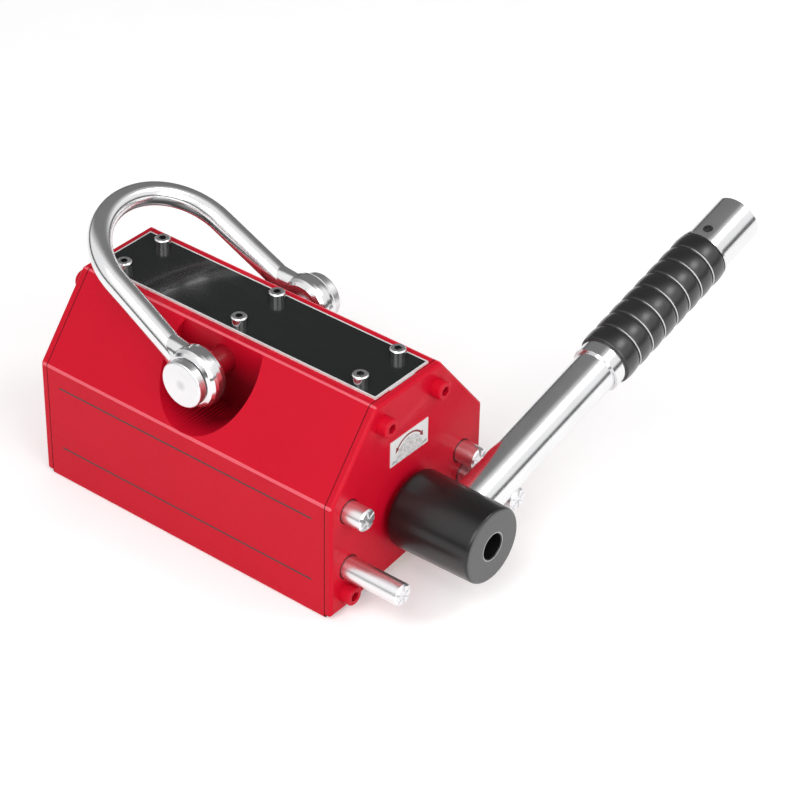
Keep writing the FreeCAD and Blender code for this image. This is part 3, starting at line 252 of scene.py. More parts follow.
def enamel(name, paint, front_edge_highlight=False, holes=(), sockets=()):
    """Thick sprayed gloss enamel: orange peel, dust, a painted highlight along the edges, painted shade in
    the joints, on the floors of the screw sockets and in the shackle's pockets.
    """
    finish = Finish(name, Coat_Weight=paint.clear_coat, Coat_Roughness=0.08, Specular_IOR_Level=0.09)
    along, across, up = finish.spot()
    peel = finish.noise(paint.peel_scale, 2.0, 0.45)
    cloud = finish.noise(22.0, 3.0, 0.55)
    speck = finish.noise(2600.0, 1.0, 0.5)
    tone = cloud * 0.6 + speck * 0.4
    colour = finish.blend(tone, rgba(paint.body_colour, 0.88), rgba(paint.body_colour, 1.1))

    # Painted highlight: pale lines along the body's long edges, where the rounded edges would catch the
    # light.
    width = paint.edge_width * (0.7 + 0.6 * cloud)
    side, slope, top = section_depths(finish, paint)
    near_side, near_slope, near_top = (side < width), (slope < width), (top < width)
    edge_highlight_mask = (near_side * near_slope).at_least(near_slope * near_top)
    # On the covers the painted highlight also runs round the outline of the front face.
    if front_edge_highlight:
        ends = max(abs(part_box("front_cover")[1].x), abs(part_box("rear_cover")[0].x))
        outline = near_side.at_least(near_slope).at_least(near_top)
        edge_highlight_mask = edge_highlight_mask.at_least(outline * (ends - abs(along) < width))
    colour = finish.blend(edge_highlight_mask * paint.edge_highlight_strength, colour, rgba(paint.edge_highlight_colour))

    joints = (abs(along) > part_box("pole_shoe_left")[1].x - paint.joint_width) * (
        abs(along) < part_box("pole_shoe_left")[1].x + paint.joint_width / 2)
    for hole_across, hole_up, radius in holes:
        gap = distance_from(across, up, (hole_across, hole_up))
        ring = (gap < radius + paint.joint_width * 2.0) * (gap > radius - paint.joint_width)
        joints = joints.at_least(ring)
    colour = finish.blend(joints * 0.85, colour, rgba(paint.body_colour, 0.04))

    outward, _, _ = finish.facing()
    # Painted shade on the floor of each cover screw's socket.
    for head_top in sockets:
        below_top = abs(along - head_top)
        floor = (outward * head_top > FACE_ON * abs(head_top)) * (
            below_top > paint.socket_shade) * (below_top < paint.socket_depth)
        colour = finish.blend(floor * 0.9, colour, rgba(paint.body_colour, 0.05))

    pin_low, pin_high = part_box("shackle_pin")
    from_pin = distance_from(along, up, ((pin_low.x + pin_high.x) / 2, (pin_low.z + pin_high.z) / 2))
    # Painted shade in the shackle's pockets, growing deeper under the slope.
    recess = (from_pin < paint.pocket_radius) * (slope > paint.pocket_skin)
    recess = recess * slope.rise(0.0, paint.pocket_fade)
    colour = finish.blend(recess * 0.8, colour, rgba(paint.body_colour, 0.12))

    finish.feed("Base Color", colour)
    finish.feed("Roughness", 0.27 + 0.10 * cloud + 0.08 * speck + 0.3 * joints)
    finish.bump(peel + 0.15 * speck, paint.peel_depth)
    return finish.material


def plate_enamel(paint):
    """Black printed face inside a bare margin, on an aluminium plate with bright cut edges."""
    finish = Finish("black_plate_face", Coat_Weight=0.3, Coat_Roughness=0.03, Specular_IOR_Level=0.35)
    along, across, _ = finish.spot()
    _, _, upward = finish.facing()
    low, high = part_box("top_plate")
    margin = paint.plate_margin
    inside = (abs(along - (low.x + high.x) / 2) < (high.x - low.x) / 2 - margin) * (
        abs(across - (low.y + high.y) / 2) < (high.y - low.y) / 2 - margin)
    face = (upward > FACE_ON) * inside
    streak = finish.noise(38.0, 4.0, 0.6, (1.0, 3.0, 1.0))
    grain = finish.noise(900.0, 2.0, 0.5, (1.0, 1.0, 8.0))
    black = finish.blend(streak, rgba(paint.plate_colour, 0.6), rgba(paint.plate_colour, 1.6))
    finish.feed("Base Color", finish.blend(face, finish.blend(grain, grey(0.72), grey(0.92)), black))
    finish.feed("Metallic", (1.0 - face) * 0.3)
    finish.feed("Roughness", (1.0 - face) * (0.4 + 0.2 * grain) + face * (0.10 + 0.2 * streak))
    finish.bump(streak, 0.00002)
    return finish.material


def hub_coating(paint):
    """Satin black coating, lighter on the hub's end face, with a painted highlight on the rim around its
    hole.
    """
    finish = Finish("satin_black", Coat_Weight=0.35, Coat_Roughness=0.2, Specular_IOR_Level=0.35)
    outward, _, _ = finish.facing()
    grain = finish.noise(1500.0, 3.0, 0.6)
    cloud = finish.noise(45.0, 2.0, 0.5)
    end_facing = outward > 0.8
    coat = finish.blend(cloud, rgba(paint.hub_colour, 0.7), rgba(paint.hub_colour, 1.3))
    low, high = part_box("hub")
    _, across, up = finish.spot()
    from_hole = distance_from(across, up, ((low.y + high.y) / 2, LEVER_PIVOT.z))
    # Painted highlight on the rim around the hub's hole.
    rim = end_facing * (from_hole < paint.hub_hole + paint.hub_rim_highlight)
    end_face = finish.blend(grain, grey(0.05), grey(0.11))
    finish.feed("Base Color", finish.blend(rim, finish.blend(end_facing, coat, end_face), grey(0.42)))
    finish.feed("Roughness", 0.27 + 0.08 * cloud + 0.06 * grain + 0.18 * end_facing)
    finish.bump(grain, 0.00002)
    return finish.material


def plated_steel(name, metal, roughness, along=(1.0, 1.0, 1.0), shade=1.0):
    """Bright plating with soft polishing lines; along stretches the lines."""
    finish = Finish(name)
    lines = finish.noise(700.0, 3.0, 0.6, along)
    cloud = finish.noise(60.0, 3.0, 0.5)
    dull = finish.noise(9.0, 4.0, 0.6)
    finish.feed("Base Color", finish.blend(cloud, rgba(metal.plating_colour, 0.86 * shade),
                                           rgba(metal.plating_colour, shade)))
    finish.feed("Metallic", 1.0 - 0.05 * cloud)
    finish.feed("Roughness", roughness + 0.08 * cloud * dull + 0.06 * lines)
    finish.bump(lines, metal.line_depth)
    return finish.material


def plate_screw_steel(metal):
    """Bright head tops over painted shade on the sides and in the sockets."""
    finish = Finish("plate_screw_steel", Metallic=1.0)
    _, _, upward = finish.facing()
    _, _, up = finish.spot()
    # Only the head tops stay bright; everything below them gets painted shade.
    top = (upward > 0.6) * (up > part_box("top_plate_screws")[1].z - metal.socket_shade)
    lines = finish.noise(900.0, 2.0, 0.5)
    cloud = finish.noise(60.0, 3.0, 0.5)
    bright = finish.blend(cloud, rgba(metal.plating_colour, 0.8), rgba(metal.plating_colour))
    finish.feed("Base Color", finish.blend(top, rgba(metal.plating_colour, 0.42), bright))
    finish.feed("Roughness", metal.lever_roughness + 0.1 * lines + 0.1 * top)
    finish.bump(lines, metal.line_depth)
    return finish.material


def pin_finish(metal, paint):
    """Bright pin whose shank was painted over with the body."""
    finish = Finish("painted_pin", Coat_Roughness=0.1)
    along, across, up = finish.spot()
    low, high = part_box("shackle_pin")
    shank = abs(across - (low.y + high.y) / 2) < (high.y - low.y) / 2 - metal.pin_head_reach
    lines = finish.noise(700.0, 3.0, 0.6)
    cloud = finish.noise(60.0, 3.0, 0.5)
    centre = ((low.x + high.x) / 2, (low.z + high.z) / 2)
    dimple = distance_from(along, up, centre).rise(metal.dimple_radius, metal.dimple_radius * 0.3)
    bright = finish.blend(cloud, rgba(metal.plating_colour, 0.86), rgba(metal.plating_colour))
    # Painted shade in the centre dimple of the pin's head, beside its bump.
    bright = finish.blend(dimple * 0.35, bright, grey(0.3))
    finish.feed("Base Color", finish.blend(shank, bright, rgba(paint.body_colour, 0.45)))
    finish.feed("Metallic", 1.0 - shank)
    finish.feed("Roughness", metal.plating_roughness + 0.14 + 0.08 * cloud + 0.06 * lines)
    finish.bump(lines - dimple * 2.0, metal.line_depth * 2.0)
    return finish.material


def machined(name, colour, metallic=1.0, rough=0.34):
    """Turned or ground metal."""
    finish = Finish(name, Metallic=metallic)
    lines = finish.noise(1200.0, 2.0, 0.5, (6.0, 1.0, 1.0))
    cloud = finish.noise(30.0, 3.0, 0.5)
    finish.feed("Base Color", finish.blend(cloud, rgba(colour, 0.85), rgba(colour, 1.1)))
    finish.feed("Roughness", rough + 0.12 * lines)
    finish.bump(lines, 0.00002)
    return finish.material


def grip_rubber(colour, swellings):
    """Moulded rubber with pores, a painted highlight along each swelling's inner edge on its right-facing
    side, and painted shade in the grooves.
    """
    finish = Finish("grip_rubber", Coat_Weight=0.6, Coat_Roughness=0.26, Specular_IOR_Level=0.5)
    inner, outer, _ = lever_span("grip")
    pitch = (outer - inner) / swellings
    _, across, up = finish.spot()
    reach = (across - LEVER_PIVOT.y) * LEVER_AXIS.y + (up - LEVER_PIVOT.z) * LEVER_AXIS.z
    turn = ((reach - inner) / pitch).fraction()
    right, _, _ = finish.facing()
    # Painted highlight: a thin bright line along the inner edge of each swelling, only where the surface
    # faces right.
    painted_glint = (turn > 0.055) * (turn < 0.095) * (reach > inner + pitch / 2) * right.rise(0.05, 0.5)
    # Painted shade in the grooves between the swellings.
    groove = (turn < 0.05).at_least(turn > 0.95)
    pores = finish.noise(2400.0, 2.0, 0.6)
    cloud = finish.noise(70.0, 3.0, 0.5)
    rubber = finish.blend(cloud, rgba(colour, 0.7), rgba(colour, 1.4))
    rubber = finish.blend(groove, rubber, rgba(colour, 0.2))
    finish.feed("Base Color", finish.blend(painted_glint, rubber, grey(0.62)))
    finish.feed("Roughness", 0.26 + 0.12 * cloud + 0.05 * pores + 0.4 * groove)
    finish.bump(pores, 0.000015)
    return finish.material


def label_foil(centre, radius):
    """Silver foil, smooth outside and pebbled inside the arrow's half disc."""
    finish = Finish("label_foil", Metallic=0.15)
    _, across, up = finish.spot()
    inside = distance_from(across, up, centre) < radius
    pebble = finish.noise(1100.0, 3.0, 0.6)
    cloud = finish.noise(120.0, 2.0, 0.5)
    dots = finish.blend(pebble.rise(0.35, 0.65), grey(0.46), grey(0.84))
    plain = finish.blend(cloud, grey(0.74), grey(0.84))
    finish.feed("Base Color", finish.blend(inside, plain, dots))
    finish.feed("Roughness", 0.38 + 0.15 * cloud)
    finish.bump(pebble * inside, 0.00006)
    return finish.material


def ink(name, colour):
    """Screen-printed ink."""
    finish = Finish(name, Coat_Weight=0.2, Coat_Roughness=0.2)
    grain = finish.noise(3000.0, 2.0, 0.5)
    finish.feed("Base Color", finish.blend(grain, rgba(colour, 0.85), rgba(colour, 1.15)))
    finish.feed("Roughness", 0.4 + 0.15 * grain)
    return finish.material


def wear(material, *nodes):
    """Give CAD nodes a material."""
    for name in nodes:
        slots = frame["nodes"][name].data.materials
        slots.clear()
        slots.append(material)


# --- Mesh helpers ---------------------------------------------------------------------------------
def piece(name, mesh, material, body):
    """Put a mesh into the scene as a piece that rides a body."""
    mesh.materials.append(material)
    made = bpy.data.objects.new(name, mesh)
    bpy.context.scene.collection.objects.link(made)
    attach(made, body)
    return made


def mesh_from(shape, name, smooth=True):
    """Turn a finished bmesh into a mesh."""
    mesh = bpy.data.meshes.new(name)
    shape.to_mesh(mesh)
    shape.free()
    if smooth:
        mesh.shade_smooth()
    return mesh


def turn_angles(count):
    """Evenly spaced angles of one turn."""
    return [2 * math.pi * step / count for step in range(count)]


def lathe(name, profile, matrix, segments=96):
    """A closed turned mesh from (distance, radius) points, around the frame's +Z."""
    shape = bmesh.new()
    rings = []
    for distance, radius in profile:
        rings.append([shape.verts.new((radius * math.cos(a), radius * math.sin(a), distance))
                      for a in turn_angles(segments)])
    for lower, upper in zip(rings, rings[1:] + rings[:1]):
        for step in range(segments):
            after = (step + 1) % segments
            shape.faces.new((lower[step], lower[after], upper[after], upper[step]))
    bmesh.ops.recalc_face_normals(shape, faces=shape.faces)
    shape.transform(matrix)
    return mesh_from(shape, name)


def coil(name, first, last, radius, wire_radius, turns, matrix, steps=40, sides=12):
    """A closed coil of round wire around the frame's +Z, between two distances."""
    shape = bmesh.new()
    rings = []
    pitch_rise = (last - first) / (2 * math.pi * turns)
    for step in range(turns * steps + 1):
        angle = 2 * math.pi * step / steps
        outward = Vector((math.cos(angle), math.sin(angle), 0.0))
        forward = Vector((-radius * math.sin(angle), radius * math.cos(angle), pitch_rise)).normalized()
        across = forward.cross(outward)
        middle = outward * radius + Vector((0.0, 0.0, first + pitch_rise * angle))
        rings.append([shape.verts.new(middle + wire_radius * (math.cos(a) * outward + math.sin(a) * across))
                      for a in turn_angles(sides)])
    for lower, upper in zip(rings, rings[1:]):
        for side in range(sides):
            after = (side + 1) % sides
            shape.faces.new((lower[side], lower[after], upper[after], upper[side]))
    shape.faces.new(rings[0])
    shape.faces.new(rings[-1])
    bmesh.ops.recalc_face_normals(shape, faces=shape.faces)
    shape.transform(matrix)
    return mesh_from(shape, name)


def sheet(name, outlines, matrix, thickness):
    """A thin raised mark from closed outlines in its own plane."""
    shape = bmesh.new()
    for outline in outlines:
        face = shape.faces.new([shape.verts.new((across, up, 0.0)) for across, up in outline])
        raised = bmesh.ops.extrude_face_region(shape, geom=[face])
        moved = [item for item in raised["geom"] if isinstance(item, bmesh.types.BMVert)]
        bmesh.ops.translate(shape, verts=moved, vec=(0.0, 0.0, thickness))
    bmesh.ops.recalc_face_normals(shape, faces=shape.faces)
    shape.transform(matrix)
    return mesh_from(shape, name, smooth=False)


def on_circle(centre, radius, angle):
    """Point on a circle."""
    return centre[0] + radius * math.cos(angle), centre[1] + radius * math.sin(angle)


def arc_band(centre, inner, outer, first, last, steps=40):
    """Outline of a curved band between two angles."""
    angles = [first + (last - first) * step / steps for step in range(steps + 1)]
    rim = [on_circle(centre, outer, angle) for angle in angles]
    return rim + [on_circle(centre, inner, angle) for angle in reversed(angles)]


def arrow_head(centre, radius, angle, direction, length, width):
    """A triangle on a circle, pointing along it."""
    tip = angle + direction * length / radius
    return [on_circle(centre, radius - width / 2, angle), on_circle(centre, radius + width / 2, angle),
            on_circle(centre, radius, tip)]


def word(name, text, size, matrix, thickness):
    """Raised lettering as a mesh, centred on its frame."""
    curve = bpy.data.curves.new(name, "FONT")
    curve.body = text
    curve.size = size
    curve.extrude = thickness / 2
    curve.align_x = "CENTER"
    curve.align_y = "CENTER"
    holder = bpy.data.objects.new(name, curve)
    mesh = bpy.data.meshes.new_from_object(holder)
    bpy.data.objects.remove(holder)
    mesh.transform(matrix)
    return mesh


# --- Settings -------------------------------------------------------------------------------------
class MagnetPaint(bpy.types.PropertyGroup):
    body_colour: FloatVectorProperty(
        name="Body", description="Enamel on the shoes, covers and cover screws",
        default=(0.585, 0.004, 0.021), subtype="COLOR", min=0.0, max=1.0)
    # The next three settings give the painted highlight along the body's long edges: its colour, how
    # strongly it shows and its width.
    edge_highlight_colour: FloatVectorProperty(
        name="Edges", description="Thin enamel along the body's long edges",
        default=(0.86, 0.16, 0.20), subtype="COLOR", min=0.0, max=1.0)
    edge_highlight_strength: FloatProperty(
        name="Edge wear", description="How far the edges take that colour",
        default=0.75, min=0.0, max=1.0)
    edge_width: FloatProperty(
        name="Edge width", description="Width of the thin enamel beside an edge", default=0.0005,
        unit="LENGTH", precision=5)
    joint_width: FloatProperty(
        name="Joint width", description="Width of the dark line where two parts meet", default=0.0003,
        unit="LENGTH", precision=5)
    # Depths that bound the painted shade in the cover screws' sockets.
    socket_shade: FloatProperty(
        name="Socket shade", description="Depth under a cover screw's top at which its socket is dark",
        default=0.0008, unit="LENGTH", precision=5)
    socket_depth: FloatProperty(
        name="Socket depth", description="Depth under a cover screw's top that its socket stays above",
        default=0.004, unit="LENGTH", precision=4)
    shoulder_height: FloatProperty(
        name="Shoulder height", description="Height at which the body's slopes begin", default=0.057,
        unit="LENGTH", precision=4)
    top_width: FloatProperty(
        name="Top width", description="Width of the body's flat top",
        default=0.042, unit="LENGTH", precision=4)
    pocket_radius: FloatProperty(
        name="Pocket radius", description="Round pocket around each ear of the shackle", default=0.0236,
        unit="LENGTH", precision=4)
    pocket_skin: FloatProperty(
        name="Pocket skin", description="Depth under the slope at which the pocket's shade begins",
        default=0.0006, unit="LENGTH", precision=5)
    pocket_fade: FloatProperty(
        name="Pocket fade", description="Depth under the slope at which the pocket's shade is full",
        default=0.012, unit="LENGTH", precision=4)
    plate_colour: FloatVectorProperty(
        name="Plate", description="Printed face of the top plate",
        default=(0.008, 0.009, 0.009), subtype="COLOR", min=0.0, max=1.0)
    plate_margin: FloatProperty(
        name="Plate margin", description="Bare edge around the plate's printed face", default=0.0007,
        unit="LENGTH", precision=5)
    hub_colour: FloatVectorProperty(
        name="Hub", description="Coating of the hub",
        default=(0.007, 0.007, 0.007), subtype="COLOR", min=0.0, max=1.0)
    hub_hole: FloatProperty(
        name="Hub hole", description="Radius of the hole in the hub's end",
        default=0.0058, unit="LENGTH", precision=5)
    # Width of the painted highlight round the hub's hole.
    hub_rim_highlight: FloatProperty(
        name="Hub rim", description="Width of the rubbed rim around that hole",
        default=0.0008, unit="LENGTH", precision=5)
    grip_colour: FloatVectorProperty(
        name="Grip", description="Rubber of the grip",
        default=(0.010, 0.010, 0.010), subtype="COLOR", min=0.0, max=1.0)
    clear_coat: FloatProperty(
        name="Clear coat", description="Weight of the gloss layer on the enamel",
        default=0.05, min=0.0, max=1.0)
    peel_scale: FloatProperty(
        name="Peel scale", description="Waves of orange peel per metre", default=520.0, min=50.0)
    peel_depth: FloatProperty(
        name="Peel depth", description="Height of the orange peel", default=0.00009, min=0.0,
        unit="LENGTH", precision=6)


class MagnetMetal(bpy.types.PropertyGroup):
    plating_colour: FloatVectorProperty(
        name="Plating", description="Colour of the bright plating",
        default=(0.88, 0.88, 0.89), subtype="COLOR", min=0.0, max=1.0)
    plating_roughness: FloatProperty(
        name="Plating roughness", description="Lowest roughness of the shackle",
        default=0.11, min=0.0, max=1.0)
    lever_roughness: FloatProperty(
        name="Lever roughness", description="Lowest roughness of the lever and sleeve", default=0.13,
        min=0.0, max=1.0)
    stop_roughness: FloatProperty(
        name="Stop pin roughness", description="Lowest roughness of the stop pins", default=0.24,
        min=0.0, max=1.0)
    line_depth: FloatProperty(
        name="Line depth", description="Depth of the polishing lines", default=0.000006, unit="LENGTH",
        precision=6)
    # Depth under a plate screw's top below which its painted shade begins.
    socket_shade: FloatProperty(
        name="Socket shade", description="Depth under a plate screw's top at which its socket is dark",
        default=0.0010, unit="LENGTH", precision=5)
    pin_head_reach: FloatProperty(
        name="Pin head", description="Length of the shackle pin that stays bright at each end",
        default=0.018, unit="LENGTH", precision=4)
    dimple_radius: FloatProperty(
        name="Pin dimple", description="Radius of the dimple in the middle of the pin's head",
        default=0.003, unit="LENGTH", precision=4)


class MagnetGrip(bpy.types.PropertyGroup):
    swellings: IntProperty(
        name="Swellings", description="Number of swellings along the grip",
        default=8, min=1)
    groove: FloatProperty(
        name="Groove", description="Width of a groove at its floor",
        default=0.0006, unit="LENGTH", precision=5)
    groove_depth: FloatProperty(
        name="Groove depth", description="Depth of a groove under the crowns", default=0.0009,
        unit="LENGTH", precision=5)
    crown: FloatProperty(
        name="Crown", description="Rise of a swelling from its ends to its middle", default=0.00045,
        unit="LENGTH", precision=5)
    corner: FloatProperty(
        name="Corner", description="Rounding of a swelling beside its grooves", default=0.00035,
        unit="LENGTH", precision=5)
    corner_share: FloatProperty(
        name="Corner share", description="Part of a half swelling that the rounding takes", default=0.1,
        min=0.01, max=1.0)
    steps: IntProperty(name="Steps", description="Rings of mesh along one swelling", default=14, min=4)
    spring_wire: FloatProperty(
        name="Spring wire", description="Diameter of the return spring's wire",
        default=0.0012, unit="LENGTH", precision=5)
    spring_turns: IntProperty(
        name="Spring turns", description="Turns of the return spring",
        default=6, min=2)


class MagnetMarks(bpy.types.PropertyGroup):
    arrow_colour: FloatVectorProperty(
        name="Arrow", description="Ink of the position arrow",
        default=(0.22, 0.008, 0.012), subtype="COLOR", min=0.0, max=1.0)
    arrow_centre: FloatProperty(
        name="Arrow centre", description="Centre of the arrow, over the label's lower edge",
        default=0.0010, unit="LENGTH", precision=5)
    arrow_radius: FloatProperty(
        name="Arrow radius", description="Radius of the position arrow",
        default=0.0099, unit="LENGTH", precision=5)
    arrow_width: FloatProperty(
        name="Arrow width", description="Width of the arrow's line",
        default=0.0009, unit="LENGTH", precision=5)
    head_size: FloatProperty(
        name="Head size", description="Length and width of the arrow's heads",
        default=0.00252, unit="LENGTH", precision=5)
    arrow_first: FloatProperty(
        name="Arrow first", description="Where the arrow's line begins, from the level", subtype="ANGLE",
        default=math.radians(40.0))
    arrow_last: FloatProperty(
        name="Arrow last", description="Where the arrow's line ends, from the level", subtype="ANGLE",
        default=math.radians(139.0))
    disc_radius: FloatProperty(
        name="Disc", description="Pebbled half disc inside the arrow",
        default=0.0085, unit="LENGTH", precision=5)
    letter_size: FloatProperty(
        name="Letters", description="Height of ON and OFF", default=0.0018, unit="LENGTH", precision=5)
    letter_inset: FloatProperty(
        name="Letter inset", description="Middle of each word, from the label's end",
        default=0.0024, unit="LENGTH", precision=5)
    letter_height: FloatProperty(
        name="Letter height", description="Middle of each word, over the label's lower edge",
        default=0.0014, unit="LENGTH", precision=5)
    rule_colour: FloatVectorProperty(
        name="Rules", description="Ink of the lines on the side",
        default=(0.012, 0.004, 0.005), subtype="COLOR", min=0.0, max=1.0)
    rule_width: FloatProperty(
        name="Rule width", description="Width of the lines on the side",
        default=0.0008, unit="LENGTH", precision=5)
    rule_inset: FloatProperty(
        name="Rule inset", description="Ends of the lines, from the ends of the pole shoe",
        default=0.0069, unit="LENGTH", precision=4)
    upper_rule: FloatProperty(
        name="Upper rule", description="Height of the upper line",
        default=0.048, unit="LENGTH", precision=4)
    lower_rule: FloatProperty(
        name="Lower rule", description="Height of the lower line",
        default=0.0167, unit="LENGTH", precision=4)
    thickness: FloatProperty(
        name="Ink thickness", description="Height of the ink",
        default=0.00003, unit="LENGTH", precision=6)


class MagnetStage(bpy.types.PropertyGroup):
    azimuth: FloatProperty(
        name="Azimuth", description="Camera's bearing around the magnet", default=math.radians(38.3),
        subtype="ANGLE")
    elevation: FloatProperty(
        name="Elevation", description="Camera's angle over the floor",
        default=math.radians(35.3), subtype="ANGLE")
    roll: FloatProperty(
        name="Roll", description="Camera's tilt", default=math.radians(1.1), subtype="ANGLE")
    distance: FloatProperty(
        name="Distance", description="Camera to its target", default=1.2384, unit="LENGTH")
    aside: FloatProperty(
        name="Aside", description="Camera's move to its right",
        default=0.0597, unit="LENGTH", precision=4)
    up: FloatProperty(
        name="Up", description="Camera's move along its own upright",
        default=0.0022, unit="LENGTH", precision=4)
    target_height: FloatProperty(
        name="Target height", description="Height the camera turns around", default=0.045, unit="LENGTH",
        precision=4)
    lens: FloatProperty(name="Lens", description="Focal length in millimetres", default=130.95, min=10.0)
    ambient: FloatProperty(name="Ambient", description="Light from all around", default=0.5, min=0.0)
    key_power: FloatProperty(name="Key", description="Power of the main lamp", default=9.0, unit="POWER")
    fill_power: FloatProperty(
        name="Fill", description="Power of the fill lamp",
        default=6.5, unit="POWER")
    top_power: FloatProperty(
        name="Top", description="Power of the small lamp above",
        default=3.2, unit="POWER")
    floor_glow: FloatProperty(
        name="Floor glow", description="What the eye and reflections add to the floor's white",
        default=0.25, min=0.0, max=1.0)
    far_glow: FloatProperty(
        name="Far glow", description="The same, far from the magnet, where the lamps don't reach",
        default=0.6, min=0.0, max=1.0)
    pale_from: FloatProperty(
        name="Pale from", description="Distance at which the glow begins to grow",
        default=1.0, unit="LENGTH")
    dome_radius: FloatProperty(
        name="Dome radius", description="Dome that only reflections see", default=1.9, unit="LENGTH")
    dome_white: FloatProperty(
        name="Dome white", description="Lightness of the rest of the dome",
        default=0.96, min=0.0, max=1.0)
    dome_grey: FloatProperty(
        name="Dome grey", description="Lightness of the dome's grey side",
        default=0.19, min=0.0, max=1.0)
    dome_foot: FloatProperty(
        name="Dome foot", description="Lightness of the dome's dark foot",
        default=0.09, min=0.0, max=1.0)


GROUPS = {
    "magnet_paint": MagnetPaint,
    "magnet_metal": MagnetMetal,
    "magnet_grip": MagnetGrip,
    "magnet_marks": MagnetMarks,
    "magnet_stage": MagnetStage,
}


# --- Operators: one for each piece or group of like pieces ----------------------------------------
class MAGNET_OT_paint_body(bpy.types.Operator):
    """Red enamel on the pole shoes, the end covers and the cover screws"""
    bl_idname = "magnet.paint_body"
    bl_label = "Paint body"

    def execute(self, context):
        paint = context.scene.magnet_paint
        holes = []
        for pin in ("long_stop_pin_on", "long_stop_pin_off", "short_stop_pin_on", "short_stop_pin_off"):
            low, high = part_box(pin)
            holes.append(((low.y + high.y) / 2, (low.z + high.z) / 2, (high.y - low.y) / 2))
        wear(enamel("shoe_enamel", paint), "pole_shoe_left", "pole_shoe_right")
        wear(enamel("front_cover_enamel", paint, True, holes), "front_cover")
        wear(enamel("rear_cover_enamel", paint, True), "rear_cover")
        head_tops = (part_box("front_cover_screws")[1].x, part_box("rear_cover_screws")[0].x)
        wear(enamel("screw_enamel", paint, sockets=head_tops), "front_cover_screws", "rear_cover_screws")
        return {"FINISHED"}


class MAGNET_OT_finish_plate(bpy.types.Operator):
    """Black top plate with bright screws"""
    bl_idname = "magnet.finish_plate"
    bl_label = "Finish top plate"

    def execute(self, context):
        metal = context.scene.magnet_metal
        wear(plate_enamel(context.scene.magnet_paint), "top_plate")
        wear(plate_screw_steel(metal), "top_plate_screws")
        return {"FINISHED"}


class MAGNET_OT_finish_hub(bpy.types.Operator):
    """Satin black hub and the dark screws inside it"""
    bl_idname = "magnet.finish_hub"
    bl_label = "Finish hub"

    def execute(self, context):
        wear(hub_coating(context.scene.magnet_paint), "hub")
        wear(machined("black_oxide", BLACK_OXIDE, 0.8, 0.4), "hub_screw", "front_flange_screws",
             "rear_flange_screws")
        return {"FINISHED"}


class MAGNET_OT_plate_bright_parts(bpy.types.Operator):
    """Bright plating on the shackle, its pin, the lever, the sleeve and the stop pins"""
    bl_idname = "magnet.plate_bright_parts"
    bl_label = "Plate bright parts"

    def execute(self, context):
        metal = context.scene.magnet_metal
        wear(plated_steel("polished_shackle", metal, metal.plating_roughness), "shackle")
        wear(pin_finish(metal, context.scene.magnet_paint), "shackle_pin", "shackle_pin_cap")
        wear(plated_steel("plated_lever", metal, metal.lever_roughness, (1.0, 0.05, 0.3)), "lever_tube",
             "sleeve_tube", "grip_ring")
        wear(plated_steel("dark_screw", metal, metal.stop_roughness, shade=0.2), "cross_screw")
        wear(plated_steel("plated_stop_pins", metal, metal.stop_roughness, (0.1, 1.0, 1.0)),
             "long_stop_pin_on", "long_stop_pin_off", "short_stop_pin_on", "short_stop_pin_off")
        return {"FINISHED"}


class MAGNET_OT_finish_inner_parts(bpy.types.Operator):
    """Steel, magnets and brass inside the body and the lever"""
    bl_idname = "magnet.finish_inner_parts"
    bl_label = "Finish inner parts"

    def execute(self, context):
        wear(machined("turned_steel", STEEL), "filler_block", "rotor_segment_left",
             "rotor_segment_right", "front_shaft", "rear_shaft", "hub_key", "lock_rod")
        wear(machined("nickel_magnet", NICKEL, rough=0.2), "fixed_magnet_rear",
             "fixed_magnet_middle", "fixed_magnet_front", "rotor_magnet_rear", "rotor_magnet_middle",
             "rotor_magnet_front")
        wear(machined("plain_brass", BRASS), "lower_strip", "upper_strip", "rotor_strip_upper",
             "rotor_strip_lower", "front_bush", "rear_bush", "rod_guide")
        return {"FINISHED"}


class MAGNET_OT_build_grip(bpy.types.Operator):
    """Rubber grip with rounded swellings and narrow grooves"""
    bl_idname = "magnet.build_grip"
    bl_label = "Build grip"

    def execute(self, context):
        sizes = context.scene.magnet_grip
        inner, outer, radius = lever_span("grip")
        bore = lever_span("sleeve_tube")[2]
        floor = radius - sizes.groove_depth
        pitch = (outer - inner) / sizes.swellings
        profile = [(inner, bore)]
        for index in range(sizes.swellings):
            start = inner + index * pitch + (sizes.groove / 2 if index else 0.0)
            end = inner + (index + 1) * pitch - (sizes.groove / 2 if index < sizes.swellings - 1 else 0.0)
            profile.append((start, floor))
            for step in range(sizes.steps + 1):
                share = step / sizes.steps
                from_middle = abs(2 * share - 1)
                into_corner = max(0.0, (from_middle - 1 + sizes.corner_share) / sizes.corner_share)
                drop = sizes.crown * from_middle ** 2 + sizes.corner * into_corner ** 2
                profile.append((start + (end - start) * share, radius - drop))
            profile.append((end, floor))
        profile.append((outer, bore))
        mesh = lathe("grip_skin", profile, lever_matrix())
        rubber = grip_rubber(context.scene.magnet_paint.grip_colour, sizes.swellings)
        grip = piece("grip_skin", mesh, rubber, "sleeve")
        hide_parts("grip")
        return {"FINISHED"}


class MAGNET_OT_build_spring(bpy.types.Operator):
    """Coil spring around the lock rod"""
    bl_idname = "magnet.build_spring"
    bl_label = "Build spring"

    def execute(self, context):
        sizes = context.scene.magnet_grip
        inner, outer, radius = lever_span("return_spring")
        wire = sizes.spring_wire / 2
        mesh = coil("spring_coil", inner + wire, outer - wire, radius - wire, wire, sizes.spring_turns,
                    lever_matrix())
        spring = piece("spring_coil", mesh, machined("spring_steel", STEEL), "rotor")
        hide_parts("return_spring")
        pull = joint("sleeve_slide")["range_m"][1]
        LEVER_PIVOT + LEVER_AXIS * outer
        (outer - inner - pull) / (outer - inner)
        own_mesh(spring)
        return {"FINISHED"}


